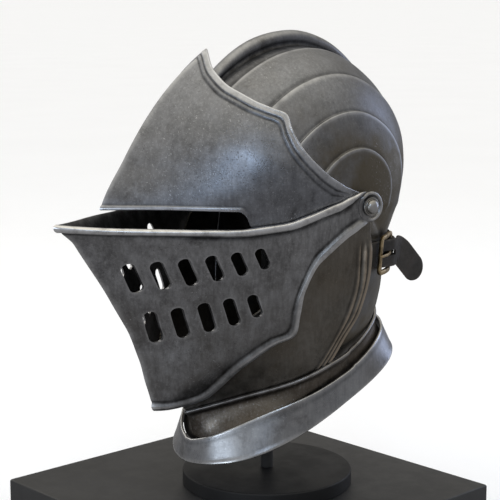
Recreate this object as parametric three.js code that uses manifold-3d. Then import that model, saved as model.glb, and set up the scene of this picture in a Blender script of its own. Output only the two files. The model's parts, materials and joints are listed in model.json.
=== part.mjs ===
import * as THREE from "three";
import { mergeVertices } from "three/addons/utils/BufferGeometryUtils.js";
import Module from "manifold-3d";

const wasm = await Module();
wasm.setup();

// Driving dimensions, in millimetres and degrees
const plateThickness = 2;
const pivotY = 53;
const pivotZ = 280;
const skullSide = 91.6;
const bevorSide = 94.5;
const visorSide = 97.2;
const ventailSide = 100;
const earRadius = 11.8;
const hiddenEarRadius = 11;
const boreRadius = 4.1;
const shankRadius = 3.7;
const fluteRise = 1.3;
const borderRise = 1.4;
const rimRise = 1.8;
const rimTurn = 2.8;
const combHalfWidth = 6.1;
const strapWidth = 22;
const strapThickness = 2;
const strapMidZ = -41;
const napeAxisY = 10;
const buckleAngle = 69;
const strapEndAngle = 93.5;
const frontSquareness = 0.9;
const rearSquareness = 0.62;
const keelRise = 2.6;
const neckSlope = 23.5;
const neckZ = -131.3;
const plinthSide = 281;
const plinthHeight = 40;
const plinthTurn = 6;
const plinthX = -6;
const plinthY = 15;
const discRadius = 70;
const discHeight = 12;
const postRadius = 5;
const postY = -22;
const seat = 0.3;

// Arched plates: reach from the pivot axis on the medial line, and the curve of the cross section
const skullRows = [
  { angle: 18, reach: 122, power: 2.2, root: 0.4545 },
  { angle: 60, reach: 117, power: 2.2, root: 0.4545 },
  { angle: 90, reach: 118, power: 2.2, root: 0.4545 },
  { angle: 120, reach: 113, power: 2.1, root: 0.476 },
  { angle: 141, reach: 105, power: 2.1, root: 0.476 },
  { angle: 160, reach: 94, power: 2.1, root: 0.476 },
  { angle: 180, reach: 83, power: 2.1, root: 0.476 },
  { angle: 200, reach: 79.5, power: 2.05, root: 0.488 },
  { angle: 215, reach: 84.5, power: 1.9, root: 0.53 },
  { angle: 226, reach: 96, power: 1.8, root: 0.56 },
  { angle: 233, reach: 114, power: 1.8, root: 0.57 },
  { angle: 240, reach: 129, power: 1.85, root: 0.56 },
  { angle: 247, reach: 139, power: 1.95, root: 0.52 },
  { angle: 262, reach: 157, power: 2.1, root: 0.476 },
  { angle: 272, reach: 178, power: 2.1, root: 0.54 },
  { angle: 285, reach: 197.5, power: 2.1, root: 0.7 },
];
const combRows = [
  { angle: 18, reach: 122 },
  { angle: 40, reach: 121 },
  { angle: 50, reach: 124.5 },
  { angle: 60, reach: 127 },
  { angle: 75, reach: 129.8 },
  { angle: 90, reach: 130.5 },
  { angle: 105, reach: 127.5 },
  { angle: 120, reach: 121.5 },
  { angle: 141, reach: 112.5 },
  { angle: 158, reach: 102 },
  { angle: 174, reach: 89.5 },
  { angle: 190, reach: 80.6 },
  { angle: 275, reach: 80.6 },
];
const bevorRows = [
  { angle: -134, reach: 101, power: 1.8, root: 0.56 },
  { angle: -127, reach: 119, power: 1.8, root: 0.57 },
  { angle: -120, reach: 134, power: 1.85, root: 0.56 },
  { angle: -113, reach: 144.5, power: 1.95, root: 0.52 },
  { angle: -98, reach: 162.5, power: 2.1, root: 0.476 },
  { angle: -88, reach: 184, power: 2.1, root: 0.54 },
  { angle: -75, reach: 203, power: 2.1, root: 0.7 },
  { angle: -64, reach: 199, power: 2.05, root: 0.95 },
  { angle: -55, reach: 193, power: 2, root: 1 },
  { angle: -46, reach: 188, power: 2, root: 1 },
  { angle: -38, reach: 181, power: 2, root: 1 },
  { angle: -30, reach: 176, power: 2, root: 1 },
  { angle: -5, reach: 174, power: 2, root: 1 },
];
const visorRows = [
  { angle: -15, reach: 184, power: 2, root: 1 },
  { angle: -2.5, reach: 181, power: 2.08, root: 1 },
  { angle: 13.6, reach: 162, power: 2.6, root: 1 },
  { angle: 28, reach: 151.5, power: 2.95, root: 1 },
  { angle: 42, reach: 146, power: 3, root: 1 },
  { angle: 57, reach: 142, power: 3, root: 1 },
  { angle: 80, reach: 139, power: 3, root: 1 },
];
const ventailRows = [
  { angle: -160, reach: 209, power: 2, root: 1 },
  { angle: -52, reach: 209, power: 2, root: 1 },
  { angle: -45.3, reach: 198.5, power: 2, root: 1 },
  { angle: -38.7, reach: 188, power: 2, root: 1 },
  { angle: -30.3, reach: 182.5, power: 2, root: 1 },
  { angle: -21.5, reach: 185, power: 2, root: 1 },
  { angle: -6.4, reach: 203, power: 2, root: 1 },
  { angle: -1.6, reach: 218, power: 2, root: 1 },
  { angle: 10, reach: 228, power: 2, root: 1 },
  { angle: 60, reach: 228, power: 2, root: 1 },
];

// Edges of the plates: share of the reach from the pivot outward, and the angle of the edge there
const visorLow = [
  { share: 0.05, angle: -30 },
  { share: 0.09, angle: -8 },
  { share: 0.165, angle: 1 },
  { share: 0.3, angle: -7 },
  { share: 0.4, angle: -9.5 },
  { share: 0.485, angle: -9 },
  { share: 0.512, angle: -7 },
  { share: 0.532, angle: -2 },
  { share: 0.567, angle: 0.4 },
  { share: 0.8, angle: 0.8 },
  { share: 1, angle: 0.4 },
];
const visorHigh = [
  { share: 0.05, angle: 75 },
  { share: 0.09, angle: 56 },
  { share: 0.14, angle: 43 },
  { share: 0.2, angle: 37 },
  { share: 0.29, angle: 35.5 },
  { share: 0.4, angle: 37.5 },
  { share: 0.5, angle: 41 },
  { share: 0.59, angle: 46.5 },
  { share: 0.645, angle: 50.5 },
  { share: 0.7, angle: 48.6 },
  { share: 0.77, angle: 47 },
  { share: 0.85, angle: 46.8 },
  { share: 0.93, angle: 49.4 },
  { share: 1, angle: 55.5 },
];
const ventailLow = [
  { share: 0.045, angle: -96 },
  { share: 0.062, angle: -78 },
  { share: 0.087, angle: -61 },
  { share: 0.149, angle: -48 },
  { share: 0.213, angle: -45 },
  { share: 0.29, angle: -44.2 },
  { share: 0.38, angle: -50 },
  { share: 0.46, angle: -58 },
  { share: 0.53, angle: -63 },
  { share: 0.585, angle: -59 },
  { share: 0.65, angle: -57 },
  { share: 0.74, angle: -56 },
  { share: 0.85, angle: -56.5 },
  { share: 0.93, angle: -54 },
  { share: 1, angle: -50.6 },
];
const ventailHigh = [
  { share: 0.045, angle: 85 },
  { share: 0.085, angle: 29 },
  { share: 0.14, angle: 8.4 },
  { share: 0.26, angle: -3.3 },
  { share: 0.365, angle: -6.4 },
  { share: 0.48, angle: -6.4 },
  { share: 0.62, angle: -5 },
  { share: 0.76, angle: -3.6 },
  { share: 0.9, angle: -2.6 },
  { share: 1, angle: -1.7 },
];
const bevorLow = [
  { share: 0.06, angle: -150 },
  { share: 0.1, angle: -116 },
  { share: 0.2, angle: -102 },
  { share: 0.32, angle: -98 },
  { share: 0.45, angle: -92.5 },
  { share: 0.61, angle: -86.5 },
  { share: 0.8, angle: -82 },
  { share: 1, angle: -80 },
];
const bevorHigh = [
  { share: 0.06, angle: 20 },
  { share: 0.1, angle: -16 },
  { share: 0.25, angle: -33 },
  { share: 0.4, angle: -41 },
  { share: 0.55, angle: -45 },
  { share: 1, angle: -46 },
];

// Breaths of the ventail: middle of each slot seen from the side, its length, width and rake
const breaths = [
  { y: -163, z: -49.5, length: 26, width: 8.2, rake: 28 },
  { y: -147, z: -47, length: 25, width: 8.2, rake: 28 },
  { y: -131, z: -44.5, length: 24, width: 8, rake: 28 },
  { y: -115, z: -41.5, length: 22.5, width: 7.8, rake: 28 },
  { y: -99.5, z: -38.5, length: 20.5, width: 7.5, rake: 28 },
  { y: -84.5, z: -35, length: 18, width: 7.2, rake: 28 },
  { y: -143, z: -90, length: 27, width: 8.2, rake: 20 },
  { y: -128, z: -86, length: 26, width: 8, rake: 20 },
  { y: -113, z: -81.5, length: 25, width: 7.8, rake: 20 },
  { y: -98.5, z: -77, length: 23, width: 7.6, rake: 20 },
  { y: -84.5, z: -72.5, length: 19, width: 7.2, rake: 20 },
];

// Gorget lames: middle of each ring and its slope, with its half sizes or its gap round the neck;
// over is a share of the upper lame's lower part, growing by drop at the front, and clear is how far the
// lower lame stands off there; lift raises the foot at the front
const upperLame = [
  { y: -7, z: -124, slope: 23.5, snug: 1.1 },
  { y: -7, z: -131, slope: 23.5, snug: 1.7 },
  { y: -4, z: -151, slope: 24.5, halfWidth: 65.2, front: 97.5, rear: 84, lift: 0 },
];
const lowerLame = [
  { over: 0.42, drop: 0.36, clear: 3.6 },
  { y: -2, z: -163.5, slope: 25.5, halfWidth: 71.4, front: 111, rear: 90.5, lift: 5 },
];

// Across each plate from the ear to the medial line
const visorShares = [
  0.05, 0.085, 0.125, 0.175, 0.24, 0.32, 0.4, 0.48, 0.512, 0.532, 0.567, 0.645, 0.7, 0.77, 0.85, 0.93, 1,
];
const ventailShares = [
  0.045, 0.075, 0.115, 0.165, 0.23, 0.3, 0.38, 0.45, 0.5, 0.53, 0.56, 0.61, 0.68, 0.76, 0.85, 0.93, 1,
];
const bevorShares = [0.06, 0.1, 0.16, 0.25, 0.35, 0.45, 0.55, 0.66, 0.77, 0.89, 1];
const skullColumns = [
  { share: 0.08, flute: 0 },
  { share: 0.36, flute: 1 },
  { share: 0.375, flute: 0 },
  { share: 0.59, flute: 1 },
  { share: 0.605, flute: 0 },
  { share: 0.82, flute: 1 },
  { share: 0.834, flute: 0 },
  { share: 0.92, flute: 0.4 },
  { share: 0.978, flute: 1 },
  { share: 0.982, flute: 0.2 },
  { share: 0.992, flute: 0.2 },
];

const radians = THREE.MathUtils.degToRad;
const group = new THREE.Group();
group.name = "armet_on_stand";

const paint = (name, color, metalness, roughness) =>
  new THREE.MeshStandardMaterial({ name, color, metalness, roughness });

// Smooth value of one column of a table between its rows
function value(table, key, place, name) {
  const last = table.length - 1;
  if (place <= table[0][key]) return table[0][name];
  if (place >= table[last][key]) return table[last][name];
  let i = 0;
  while (table[i + 1][key] < place) i += 1;
  const slope = (k) => (table[k + 1][name] - table[k][name]) / (table[k + 1][key] - table[k][key]);
  const tangent = (k) => {
    if (k === 0 || k === last) return slope(Math.min(k, last - 1));
    const before = slope(k - 1);
    const after = slope(k);
    return before * after <= 0 ? 0 : (2 * before * after) / (before + after);
  };
  const width = table[i + 1][key] - table[i][key];
  const t = (place - table[i][key]) / width;
  const a = table[i][name];
  const b = table[i + 1][name];
  const ma = tangent(i) * width;
  const mb = tangent(i + 1) * width;
  return (
    a * (1 + 2 * t) * (1 - t) ** 2 + b * t * t * (3 - 2 * t) + ma * t * (1 - t) ** 2 + mb * t * t * (t - 1)
  );
}

// A point of an arched plate, on the wearer's left
function archPoint(rows, side, angle, share) {
  const reach = share * value(rows, "angle", angle, "reach");
  const power = value(rows, "angle", angle, "power");
  const root = value(rows, "angle", angle, "root");
  const across = side * Math.max(0, 1 - share ** power) ** root;
  return new THREE.Vector3(across, -reach * Math.cos(radians(angle)), reach * Math.sin(radians(angle)));
}

function solidFrom(vertices, triangles) {
  const mesh = new wasm.Mesh({
    numProp: 3,
    vertProperties: Float32Array.from(vertices.flatMap((v) => [v.x, v.y, v.z])),
    triVerts: Uint32Array.from(triangles.flat()),
  });
  return new wasm.Manifold(mesh);
}

function solidOf(geometry) {
  const plain = geometry.clone();
  plain.deleteAttribute("normal");
  plain.deleteAttribute("uv");
  const merged = mergeVertices(plain, 1e-4);
  const mesh = new wasm.Mesh({
    numProp: 3,
    vertProperties: Float32Array.from(merged.attributes.position.array),
    triVerts: Uint32Array.from(merged.index.array),
  });
  return new wasm.Manifold(mesh);
}

// A plate between an outer grid of points and the same grid set in by its thickness
function plateSolid(points, lifts, loop = false) {
  const rows = points.length;
  const cols = points[0].length;
  const wrap = (i) => (loop ? (i + rows) % rows : Math.min(rows - 1, Math.max(0, i)));
  const normals = points.map((row, i) =>
    row.map((point, j) => {
      const along = points[wrap(i + 1)][j].clone().sub(points[wrap(i - 1)][j]);
      const over = row[Math.min(cols - 1, j + 1)].clone().sub(row[Math.max(0, j - 1)]);
      return along.cross(over).normalize();
    })
  );
  const middle = Math.floor(rows / 2);
  const centre = Math.floor(cols / 2);
  const away = points[middle][centre].clone().setZ(loop ? 0 : points[middle][centre].z);
  const sign = Math.sign(normals[middle][centre].dot(away)) || 1;
  const vertices = [];
  const outer = points.map((row, i) =>
    row.map((point, j) => vertices.push(point.clone().addScaledVector(normals[i][j], sign * lifts[i][j])) - 1)
  );
  const inner = points.map((row, i) =>
    row.map((point, j) => vertices.push(point.clone().addScaledVector(normals[i][j], -sign * plateThickness)) - 1)
  );
  const triangles = [];
  const quad = (a, b, c, d) => {
    if (sign > 0) triangles.push([a, b, c], [a, c, d]);
    else triangles.push([a, c, b], [a, d, c]);
  };
  const spans = loop ? rows : rows - 1;
  for (let i = 0; i < spans; i += 1) {
    const n = loop ? (i + 1) % rows : i + 1;
    for (let j = 0; j + 1 < cols; j += 1) {
      quad(outer[i][j], outer[n][j], outer[n][j + 1], outer[i][j + 1]);
      quad(inner[i][j], inner[i][j + 1], inner[n][j + 1], inner[n][j]);
    }
    quad(outer[n][0], outer[i][0], inner[i][0], inner[n][0]);
    quad(outer[i][cols - 1], outer[n][cols - 1], inner[n][cols - 1], inner[i][cols - 1]);
  }
  if (!loop) {
    for (let j = 0; j + 1 < cols; j += 1) {
      quad(outer[0][j], outer[0][j + 1], inner[0][j + 1], inner[0][j]);
      quad(outer[rows - 1][j + 1], outer[rows - 1][j], inner[rows - 1][j], inner[rows - 1][j + 1]);
    }
  }
  return solidFrom(vertices, triangles);
}

// A plate from ear to ear, with its rows set between a low and a high edge
function archPlate(rows, side, shares, low, high, lines) {
  const half = [...shares].reverse();
  const across = [...shares.slice(0, -1).map((s) => [s, 1]), ...half.map((s) => [s, -1])];
  const points = [];
  const lifts = [];
  across.forEach(([share, hand]) => {
    const from = value(low, "share", share, "angle");
    const to = value(high, "share", share, "angle");
    const reach = share * value(rows, "angle", (from + to) / 2, "reach");
    const degree = (mm) => Math.min(((to - from) * mm) / 45, THREE.MathUtils.radToDeg(mm / reach));
    const row = [];
    const lift = [];
    lines.forEach((line) => {
      let angle = from + (to - from) * (line.share ?? 0);
      if (line.fromLow !== undefined) angle = from + degree(line.fromLow);
      if (line.fromHigh !== undefined) angle = to - degree(line.fromHigh);
      const { smoothstep } = THREE.MathUtils;
      const turn = (line.turn ?? 0) * smoothstep(reach, 20, 36) * (1 - smoothstep(reach, 80, 110));
      const point = archPoint(rows, side + turn, angle, share);
      point.multiply(new THREE.Vector3(hand, 1 + turn / 120, 1 + turn / 120));
      row.push(point);
      lift.push((line.lift ?? 0) * THREE.MathUtils.smoothstep(reach, 17, 32));
    });
    points.push(row);
    lifts.push(lift);
  });
  return plateSolid(points, lifts);
}

// A ring on the pivot axis, from a closed profile turned about it
function turned(profile, segments) {
  const closed = [...profile, profile[0]].map(([r, x]) => new THREE.Vector2(r, x));
  return new THREE.LatheGeometry(closed, segments);
}

function ear(side, hand, radius) {
  const inner = side - plateThickness;
  const ring = turned(
    [
      [boreRadius, inner],
      [radius, inner],
      [radius, side],
      [boreRadius, side],
    ],
    24
  );
  ring.rotateZ(-Math.PI / 2);
  if (hand < 0) ring.rotateY(Math.PI);
  return solidOf(ring);
}

const withEars = (plate, side, radius = hiddenEarRadius) =>
  plate.add(ear(side, 1, radius)).add(ear(side, -1, radius));

// Everything of the helmet is drawn about the pivot axis and then set over the plinth
function keep(name, solid, material) {
  const mesh = solid.getMesh();
  const geometry = new THREE.BufferGeometry();
  const places = new Float32Array((mesh.vertProperties.length / mesh.numProp) * 3);
  for (let i = 0; i < places.length / 3; i += 1) {
    for (let k = 0; k < 3; k += 1) places[i * 3 + k] = mesh.vertProperties[i * mesh.numProp + k];
  }
  geometry.setAttribute("position", new THREE.BufferAttribute(places, 3));
  geometry.setIndex([...mesh.triVerts]);
  geometry.translate(0, pivotY, pivotZ);
  geometry.computeVertexNormals();
  const body = new THREE.Mesh(geometry, material);
  body.name = name;
  group.add(body);
}

// Skull with its comb and stepped flutes
const skullAngles = [18, 27, 38, 50, 62, 75, 88, 101, 114, 127, 139, 150, 161, 172, 182, 192, 203, 213, 221, 228, 236, 246, 263, 282];
const skullHalf = skullColumns.map((c) => ({ share: c.share, flute: c.flute, comb: 0 }));
const skullAcross = [
  ...skullHalf.map((c) => ({ ...c, hand: 1 })),
  { across: combHalfWidth + 0.9, flute: 0, comb: 0, hand: 1 },
  { across: combHalfWidth, flute: 0, comb: 0.92, hand: 1 },
  { across: 0, flute: 0, comb: 1, hand: 1 },
  { across: combHalfWidth, flute: 0, comb: 0.92, hand: -1 },
  { across: combHalfWidth + 0.9, flute: 0, comb: 0, hand: -1 },
  ...[...skullHalf].reverse().map((c) => ({ ...c, hand: -1 })),
];
const skullPoints = skullAcross.map((c) =>
  skullAngles.map((angle) => {
    const share = c.share ?? (1 - (c.across / skullSide) ** 2.2) ** (1 / 2.2);
    const point = archPoint(skullRows, skullSide, angle, share);
    // the comb's columns draw together below the comb's end
    if (c.across !== undefined) point.x = c.across * (1 - 0.62 * THREE.MathUtils.smoothstep(angle, 192, 221));
    point.x *= c.hand;
    return point;
  })
);
const skullLifts = skullAcross.map((c) =>
  skullAngles.map((angle) => {
    const rise = value(combRows, "angle", angle, "reach") - value(skullRows, "angle", angle, "reach");
    const fade = THREE.MathUtils.clamp((196 - angle) / 12, 0, 1);
    return c.comb * Math.max(0.1, rise) + c.flute * fluteRise * fade;
  })
);
let skull = withEars(plateSolid(skullPoints, skullLifts), skullSide);

// Bevor round the chin and cheeks
let bevor = withEars(
  archPlate(bevorRows, bevorSide, bevorShares, bevorLow, bevorHigh, [
    { share: 0, turn: rimTurn },
    { share: 0.1, turn: rimTurn },
    { share: 0.19 },
    { share: 0.3 },
    { share: 0.44 },
    { share: 0.6 },
    { share: 0.8 },
    { share: 1 },
  ]),
  bevorSide
);

// Both end at the neck on one sloping plane inside the upper lame
const neckBox = new THREE.BoxGeometry(400, 600, 300);
neckBox.translate(0, 0, -150);
neckBox.rotateX(radians(neckSlope));
neckBox.translate(0, -7, neckZ);
const neckCut = solidOf(neckBox);
skull = skull.subtract(neckCut);
bevor = bevor.subtract(neckCut);

keep("skull", skull, paint("skull_steel", 0x5b5d60, 1, 0.42));
keep("bevor", bevor, paint("bevor_steel", 0x55565a, 1, 0.45));

// Visor with a raised border along its rear edge
const visor = withEars(
  archPlate(visorRows, visorSide, visorShares, visorLow, visorHigh, [
    { fromLow: 0 },
    { fromLow: 4 },
    { share: 0.28 },
    { share: 0.46 },
    { share: 0.64 },
    { fromHigh: 8.5 },
    { fromHigh: 7, lift: borderRise },
    { fromHigh: 0, lift: borderRise },
  ]),
  visorSide
);
keep("visor", visor, paint("visor_steel", 0x606266, 1, 0.4));

// Ventail with a rolled rim, a raised rear border and its breaths
let ventail = withEars(
  archPlate(ventailRows, ventailSide, ventailShares, ventailLow, ventailHigh, [
    { fromLow: 0, lift: borderRise },
    { fromLow: 6, lift: borderRise },
    { fromLow: 7.5 },
    { share: 0.36 },
    { share: 0.52 },
    { share: 0.66 },
    { share: 0.78 },
    { fromHigh: 6 },
    { fromHigh: 4.6, lift: rimRise },
    { fromHigh: 0, lift: rimRise },
  ]),
  ventailSide,
  earRadius
);
breaths.forEach((slot) => {
  const outline = new THREE.Shape();
  const reach = (slot.length - slot.width) / 2;
  outline.absarc(0, reach, slot.width / 2, 0, Math.PI, false);
  outline.absarc(0, -reach, slot.width / 2, Math.PI, 2 * Math.PI, false);
  const bar = new THREE.ExtrudeGeometry(outline, { depth: 130, bevelEnabled: false, curveSegments: 2 });
  bar.rotateZ(radians(slot.rake));
  bar.rotateY(Math.PI / 2);
  bar.rotateX(Math.PI / 2);
  bar.translate(6, slot.y, slot.z);
  const other = bar.clone().translate(-142, 0, 0);
  ventail = ventail.subtract(solidOf(bar));
  ventail = ventail.subtract(solidOf(other));
});
keep("ventail", ventail, paint("ventail_steel", 0x5e5f62, 1, 0.42));

// Distance from the middle of a sloping ring to the outside of the neck, in one direction
function neckReach(ring, heading) {
  let near = 15;
  let far = 140;
  for (let k = 0; k < 30; k += 1) {
    const d = (near + far) / 2;
    const x = Math.abs(d * heading.x);
    const y = ring.y + d * heading.y;
    const z = ring.z + d * heading.z;
    const angle = THREE.MathUtils.radToDeg(Math.atan2(z, -y));
    const behind = angle < -92 || angle > 90;
    const rows = behind ? skullRows : bevorRows;
    const turned = behind && angle < 0 ? angle + 360 : angle;
    const share = Math.hypot(y, z) / value(rows, "angle", turned, "reach");
    const power = value(rows, "angle", turned, "power");
    const root = value(rows, "angle", turned, "root");
    const side = behind ? skullSide + 0.8 + 3.6 * THREE.MathUtils.smoothstep(angle, -112, -92) : bevorSide;
    if (share < 1 && x < side * (1 - share ** power) ** root) near = d;
    else far = d;
  }
  return near;
}

// Gorget lames, whole rings round the neck, the lower one standing off the upper one
function lamePoints(rings, under) {
  const around = 28;
  const points = [];
  for (let i = 0; i < around; i += 1) {
    const turn = (2 * Math.PI * i) / around;
    const behind = Math.cos(turn) > 0;
    const square = (t) => Math.sign(t) * Math.abs(t) ** (behind ? rearSquareness : frontSquareness);
    const ahead = behind ? 0 : -Math.cos(turn);
    const keel = behind ? 0 : keelRise * Math.max(0, 1 - Math.abs(Math.sin(turn)) / 0.4);
    points.push(
      rings.map((ring) => {
        if (ring.over !== undefined) {
          const [, top, foot] = under[i];
          const tangent = under[(i + 1) % around][1].clone().sub(under[(i + around - 1) % around][1]);
          const outward = tangent.cross(foot.clone().sub(top)).normalize();
          if (outward.dot(top.clone().setZ(0)) < 0) outward.negate();
          const over = ring.over + ring.drop * ahead ** 4;
          return top.clone().lerp(foot, over).addScaledVector(outward, ring.clear * (1 + 0.5 * ahead ** 6));
        }
        const slope = radians(ring.slope);
        const centre = new THREE.Vector3(0, ring.y, ring.z);
        const along = new THREE.Vector3(0, Math.cos(slope), Math.sin(slope));
        if (ring.snug === undefined) {
          centre.x = ring.halfWidth * square(Math.sin(turn));
          centre.z += ring.lift * ahead ** 4;
          return centre.addScaledVector(along, (behind ? ring.rear : ring.front) * square(Math.cos(turn)) - keel);
        }
        const heading = along.multiplyScalar(Math.cos(turn)).setX(Math.sin(turn) * 0.72).normalize();
        return centre.addScaledVector(heading, neckReach(ring, heading) + ring.snug + plateThickness);
      })
    );
  }
  return points;
}
const lame = (points) => plateSolid(points, points.map((row) => row.map(() => 0)), true);
const upperPoints = lamePoints(upperLame);
keep("gorget_upper", lame(upperPoints), paint("gorget_upper_steel", 0x5a5b5e, 1, 0.42));
keep("gorget_lower", lame(lamePoints(lowerLame, upperPoints)), paint("gorget_lower_steel", 0x6c6d70, 1, 0.36));

// Pivot bolts: inside burr, shank, washer and domed head in one
const boltProfile = [
  [0, 87.4],
  [6.5, 87.4],
  [6.5, skullSide - plateThickness - 2 * seat],
  [shankRadius, skullSide - plateThickness - 2 * seat],
  [shankRadius, ventailSide + seat],
  [7.4, ventailSide + seat],
  [7.4, ventailSide + 1.3],
  [6.9, ventailSide + 1.8],
  [6, ventailSide + 1.8],
  [5.6, ventailSide + 4],
  [4, ventailSide + 5.6],
  [0, ventailSide + 6.3],
];
[
  ["pivot_left", 1],
  ["pivot_right", -1],
].forEach(([name, hand]) => {
  const bolt = turned(boltProfile, 12);
  bolt.rotateZ(-Math.PI / 2);
  if (hand < 0) bolt.rotateY(Math.PI);
  keep(name, solidOf(bolt), paint(`${name}_steel`, 0x77777a, 1, 0.35));
});

// Strap space: distance along the strap, height over the skull and height over the strap's middle line
function napeReach(turn, z) {
  let near = 10;
  let far = 160;
  for (let k = 0; k < 40; k += 1) {
    const d = (near + far) / 2;
    const x = d * Math.abs(Math.sin(turn));
    const y = napeAxisY + d * Math.cos(turn);
    const reach = Math.hypot(y, z);
    let angle = THREE.MathUtils.radToDeg(Math.atan2(z, -y));
    if (angle < 0) angle += 360;
    const share = reach / value(skullRows, "angle", angle, "reach");
    const power = value(skullRows, "angle", angle, "power");
    const root = value(skullRows, "angle", angle, "root");
    const inside = share < 1 && x < skullSide * (1 - share ** power) ** root;
    if (inside) near = d;
    else far = d;
  }
  return near;
}
const turnSpan = 150;
const napeTable = [];
for (let k = 0; k <= 60; k += 1) {
  const turn = radians(-turnSpan + (2 * turnSpan * k) / 60);
  const high = napeReach(turn, strapMidZ + strapWidth / 2);
  const low = napeReach(turn, strapMidZ - strapWidth / 2);
  const before = napeTable[k - 1];
  const step = before
    ? Math.hypot(
        high * Math.sin(turn) - before.high * Math.sin(before.turn),
        high * Math.cos(turn) - before.high * Math.cos(before.turn)
      )
    : 0;
  napeTable.push({ turn, high, low, along: step + (before ? before.along : 0) });
}
const alongOf = (degrees) => value(napeTable, "turn", radians(degrees), "along");
const buckleAlong = alongOf(buckleAngle);
// s runs backward from the buckle's rear bar, so the front of the left side is negative
function strapPoint(s, h, z) {
  const turn = value(napeTable, "along", buckleAlong - s, "turn");
  const high = value(napeTable, "turn", turn, "high");
  const low = value(napeTable, "turn", turn, "low");
  const crown =
    0.8 * Math.max(0, 1 - ((2 * z) / strapWidth) ** 2) * THREE.MathUtils.smoothstep(Math.abs(s), 26, 40);
  const reach = high + ((low - high) * (strapWidth / 2 - z)) / strapWidth + crown + h;
  return new THREE.Vector3(reach * Math.sin(turn), napeAxisY + reach * Math.cos(turn), strapMidZ + z);
}
function prism(outline, levels, place = strapPoint) {
  const flat = outline.map(([s, h]) => new THREE.Vector2(s, h));
  if (THREE.ShapeUtils.area(flat) < 0) flat.reverse();
  const vertices = [];
  const loops = levels.map((z) => flat.map((p) => vertices.push(place(p.x, p.y, z)) - 1));
  const triangles = [];
  const seen = loops[0].map((i) => new THREE.Vector2(vertices[i].x, vertices[i].y));
  if (THREE.ShapeUtils.area(seen) < 0) seen.forEach((p) => p.setX(-p.x));
  const caps = THREE.ShapeUtils.triangulateShape(seen, []);
  const top = loops[loops.length - 1];
  caps.forEach(([a, b, c]) => {
    triangles.push([loops[0][a], loops[0][b], loops[0][c]]);
    triangles.push([top[a], top[c], top[b]]);
  });
  for (let k = 0; k + 1 < loops.length; k += 1) {
    flat.forEach((_, i) => {
      const n = (i + 1) % flat.length;
      triangles.push([loops[k][i], loops[k + 1][i], loops[k + 1][n]]);
      triangles.push([loops[k][i], loops[k + 1][n], loops[k][n]]);
    });
  }
  return solidFrom(vertices, triangles);
}
const circle = (s, h, radius, from, to, steps) =>
  Array.from({ length: steps + 1 }, (_, k) => {
    const t = radians(from + ((to - from) * k) / steps);
    return [s + radius * Math.cos(t), h + radius * Math.sin(t)];
  });

const barHeight = 5.8;
const barRadius = 1.8;
const halfStrap = strapWidth / 2;
const levels = [-halfStrap, 0, halfStrap];
const rightEnd = buckleAlong - alongOf(-strapEndAngle);
const leftEnd = buckleAlong - alongOf(strapEndAngle);
const tucked = 1;
const onSkull = 1.7;

// Nape strap: from the right cheek round the back to a loop on the buckle's rear bar
const napeLine = [];
const napeSteps = 20;
for (let k = 0; k <= napeSteps; k += 1) {
  const s = 8 + ((rightEnd - 8) * k) / napeSteps;
  const t = THREE.MathUtils.smoothstep(s, rightEnd - 30, rightEnd - 12);
  napeLine.push([s, onSkull + (tucked - onSkull) * t]);
}
const napeOutline = [
  ...napeLine,
  ...[...napeLine].reverse().map(([s, h]) => [s, h + strapThickness]),
  ...circle(0, barHeight, barRadius + 0.4 + 1.9, 50, 180, 6),
  ...circle(0, barHeight, barRadius + 0.4 + 1.9, 180, 270, 4).slice(1),
];
let napeStrap = prism(napeOutline, levels);
napeStrap = napeStrap.subtract(prism(circle(0, barHeight, barRadius + 0.4, 0, 315, 7), [-halfStrap - 1, halfStrap + 1]));
napeStrap = napeStrap.subtract(
  prism([[-5.5, -1], [4.3, -1], [4.3, 12], [-5.5, 12]], [-2.2, 2.2])
);
keep("strap_nape", napeStrap, paint("strap_nape_leather", 0x2b2622, 0, 0.75));

// Front strap: from the left cheek under the buckle's front bar, over its rear bar, to a free tail
const frontLine = [
  [leftEnd, tucked],
  [leftEnd + 6, tucked],
  [-31, 1.5],
  [-25, 2.2],
  [-18, 4.2],
  [-11, 7.5],
  [-5, 10.2],
  [0, 10.7],
  [5, 10.7],
];
const tailRoot = 5;
const tailHeight = 10.7;
const tailLength = 42;
const tailDrop = 46;
const tailSwing = 40;
const tailAhead = strapPoint(tailRoot + 0.6, tailHeight, 0).sub(strapPoint(tailRoot - 0.6, tailHeight, 0)).normalize();
const tailOut = new THREE.Vector3(tailAhead.y, -tailAhead.x, 0);
if (tailOut.dot(strapPoint(tailRoot, tailHeight, 0)) < 0) tailOut.negate();
// The tail swings out from the nape and hangs down as it leaves the buckle
function frontPoint(s, h, z) {
  if (s <= tailRoot) return strapPoint(s, h, z);
  const over = s - tailRoot;
  const steps = 12;
  const bend = (t) => THREE.MathUtils.smoothstep(t, 0, 14);
  const heading = (t) => {
    const swing = radians(tailSwing) * bend(t);
    const fall = radians(tailDrop) * bend(t);
    return new THREE.Vector3()
      .addScaledVector(tailAhead, Math.cos(swing) * Math.cos(fall))
      .addScaledVector(tailOut, Math.sin(swing) * Math.cos(fall))
      .setZ(-Math.sin(fall));
  };
  const point = strapPoint(tailRoot, tailHeight, 0);
  for (let k = 0; k < steps; k += 1) point.addScaledVector(heading((over * (k + 0.5)) / steps), over / steps);
  const ahead = heading(over);
  const flat = new THREE.Vector3(ahead.x, ahead.y, 0).normalize();
  const face = new THREE.Vector3(flat.y, -flat.x, 0);
  if (face.dot(tailOut) < 0) face.negate();
  const across = new THREE.Vector3().crossVectors(ahead, face).normalize();
  if (across.z < 0) across.negate();
  const past = Math.max(0, (over - (tailLength - halfStrap)) / halfStrap);
  const round = Math.sqrt(Math.max(0.02, 1 - past ** 2));
  return point.addScaledVector(across, z * round).addScaledVector(face, h - tailHeight);
}
const tailLine = [9, 13, 18, 27, 36, 40, 43, 45.5, 46.8].map((s) => [s, tailHeight]);
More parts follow.
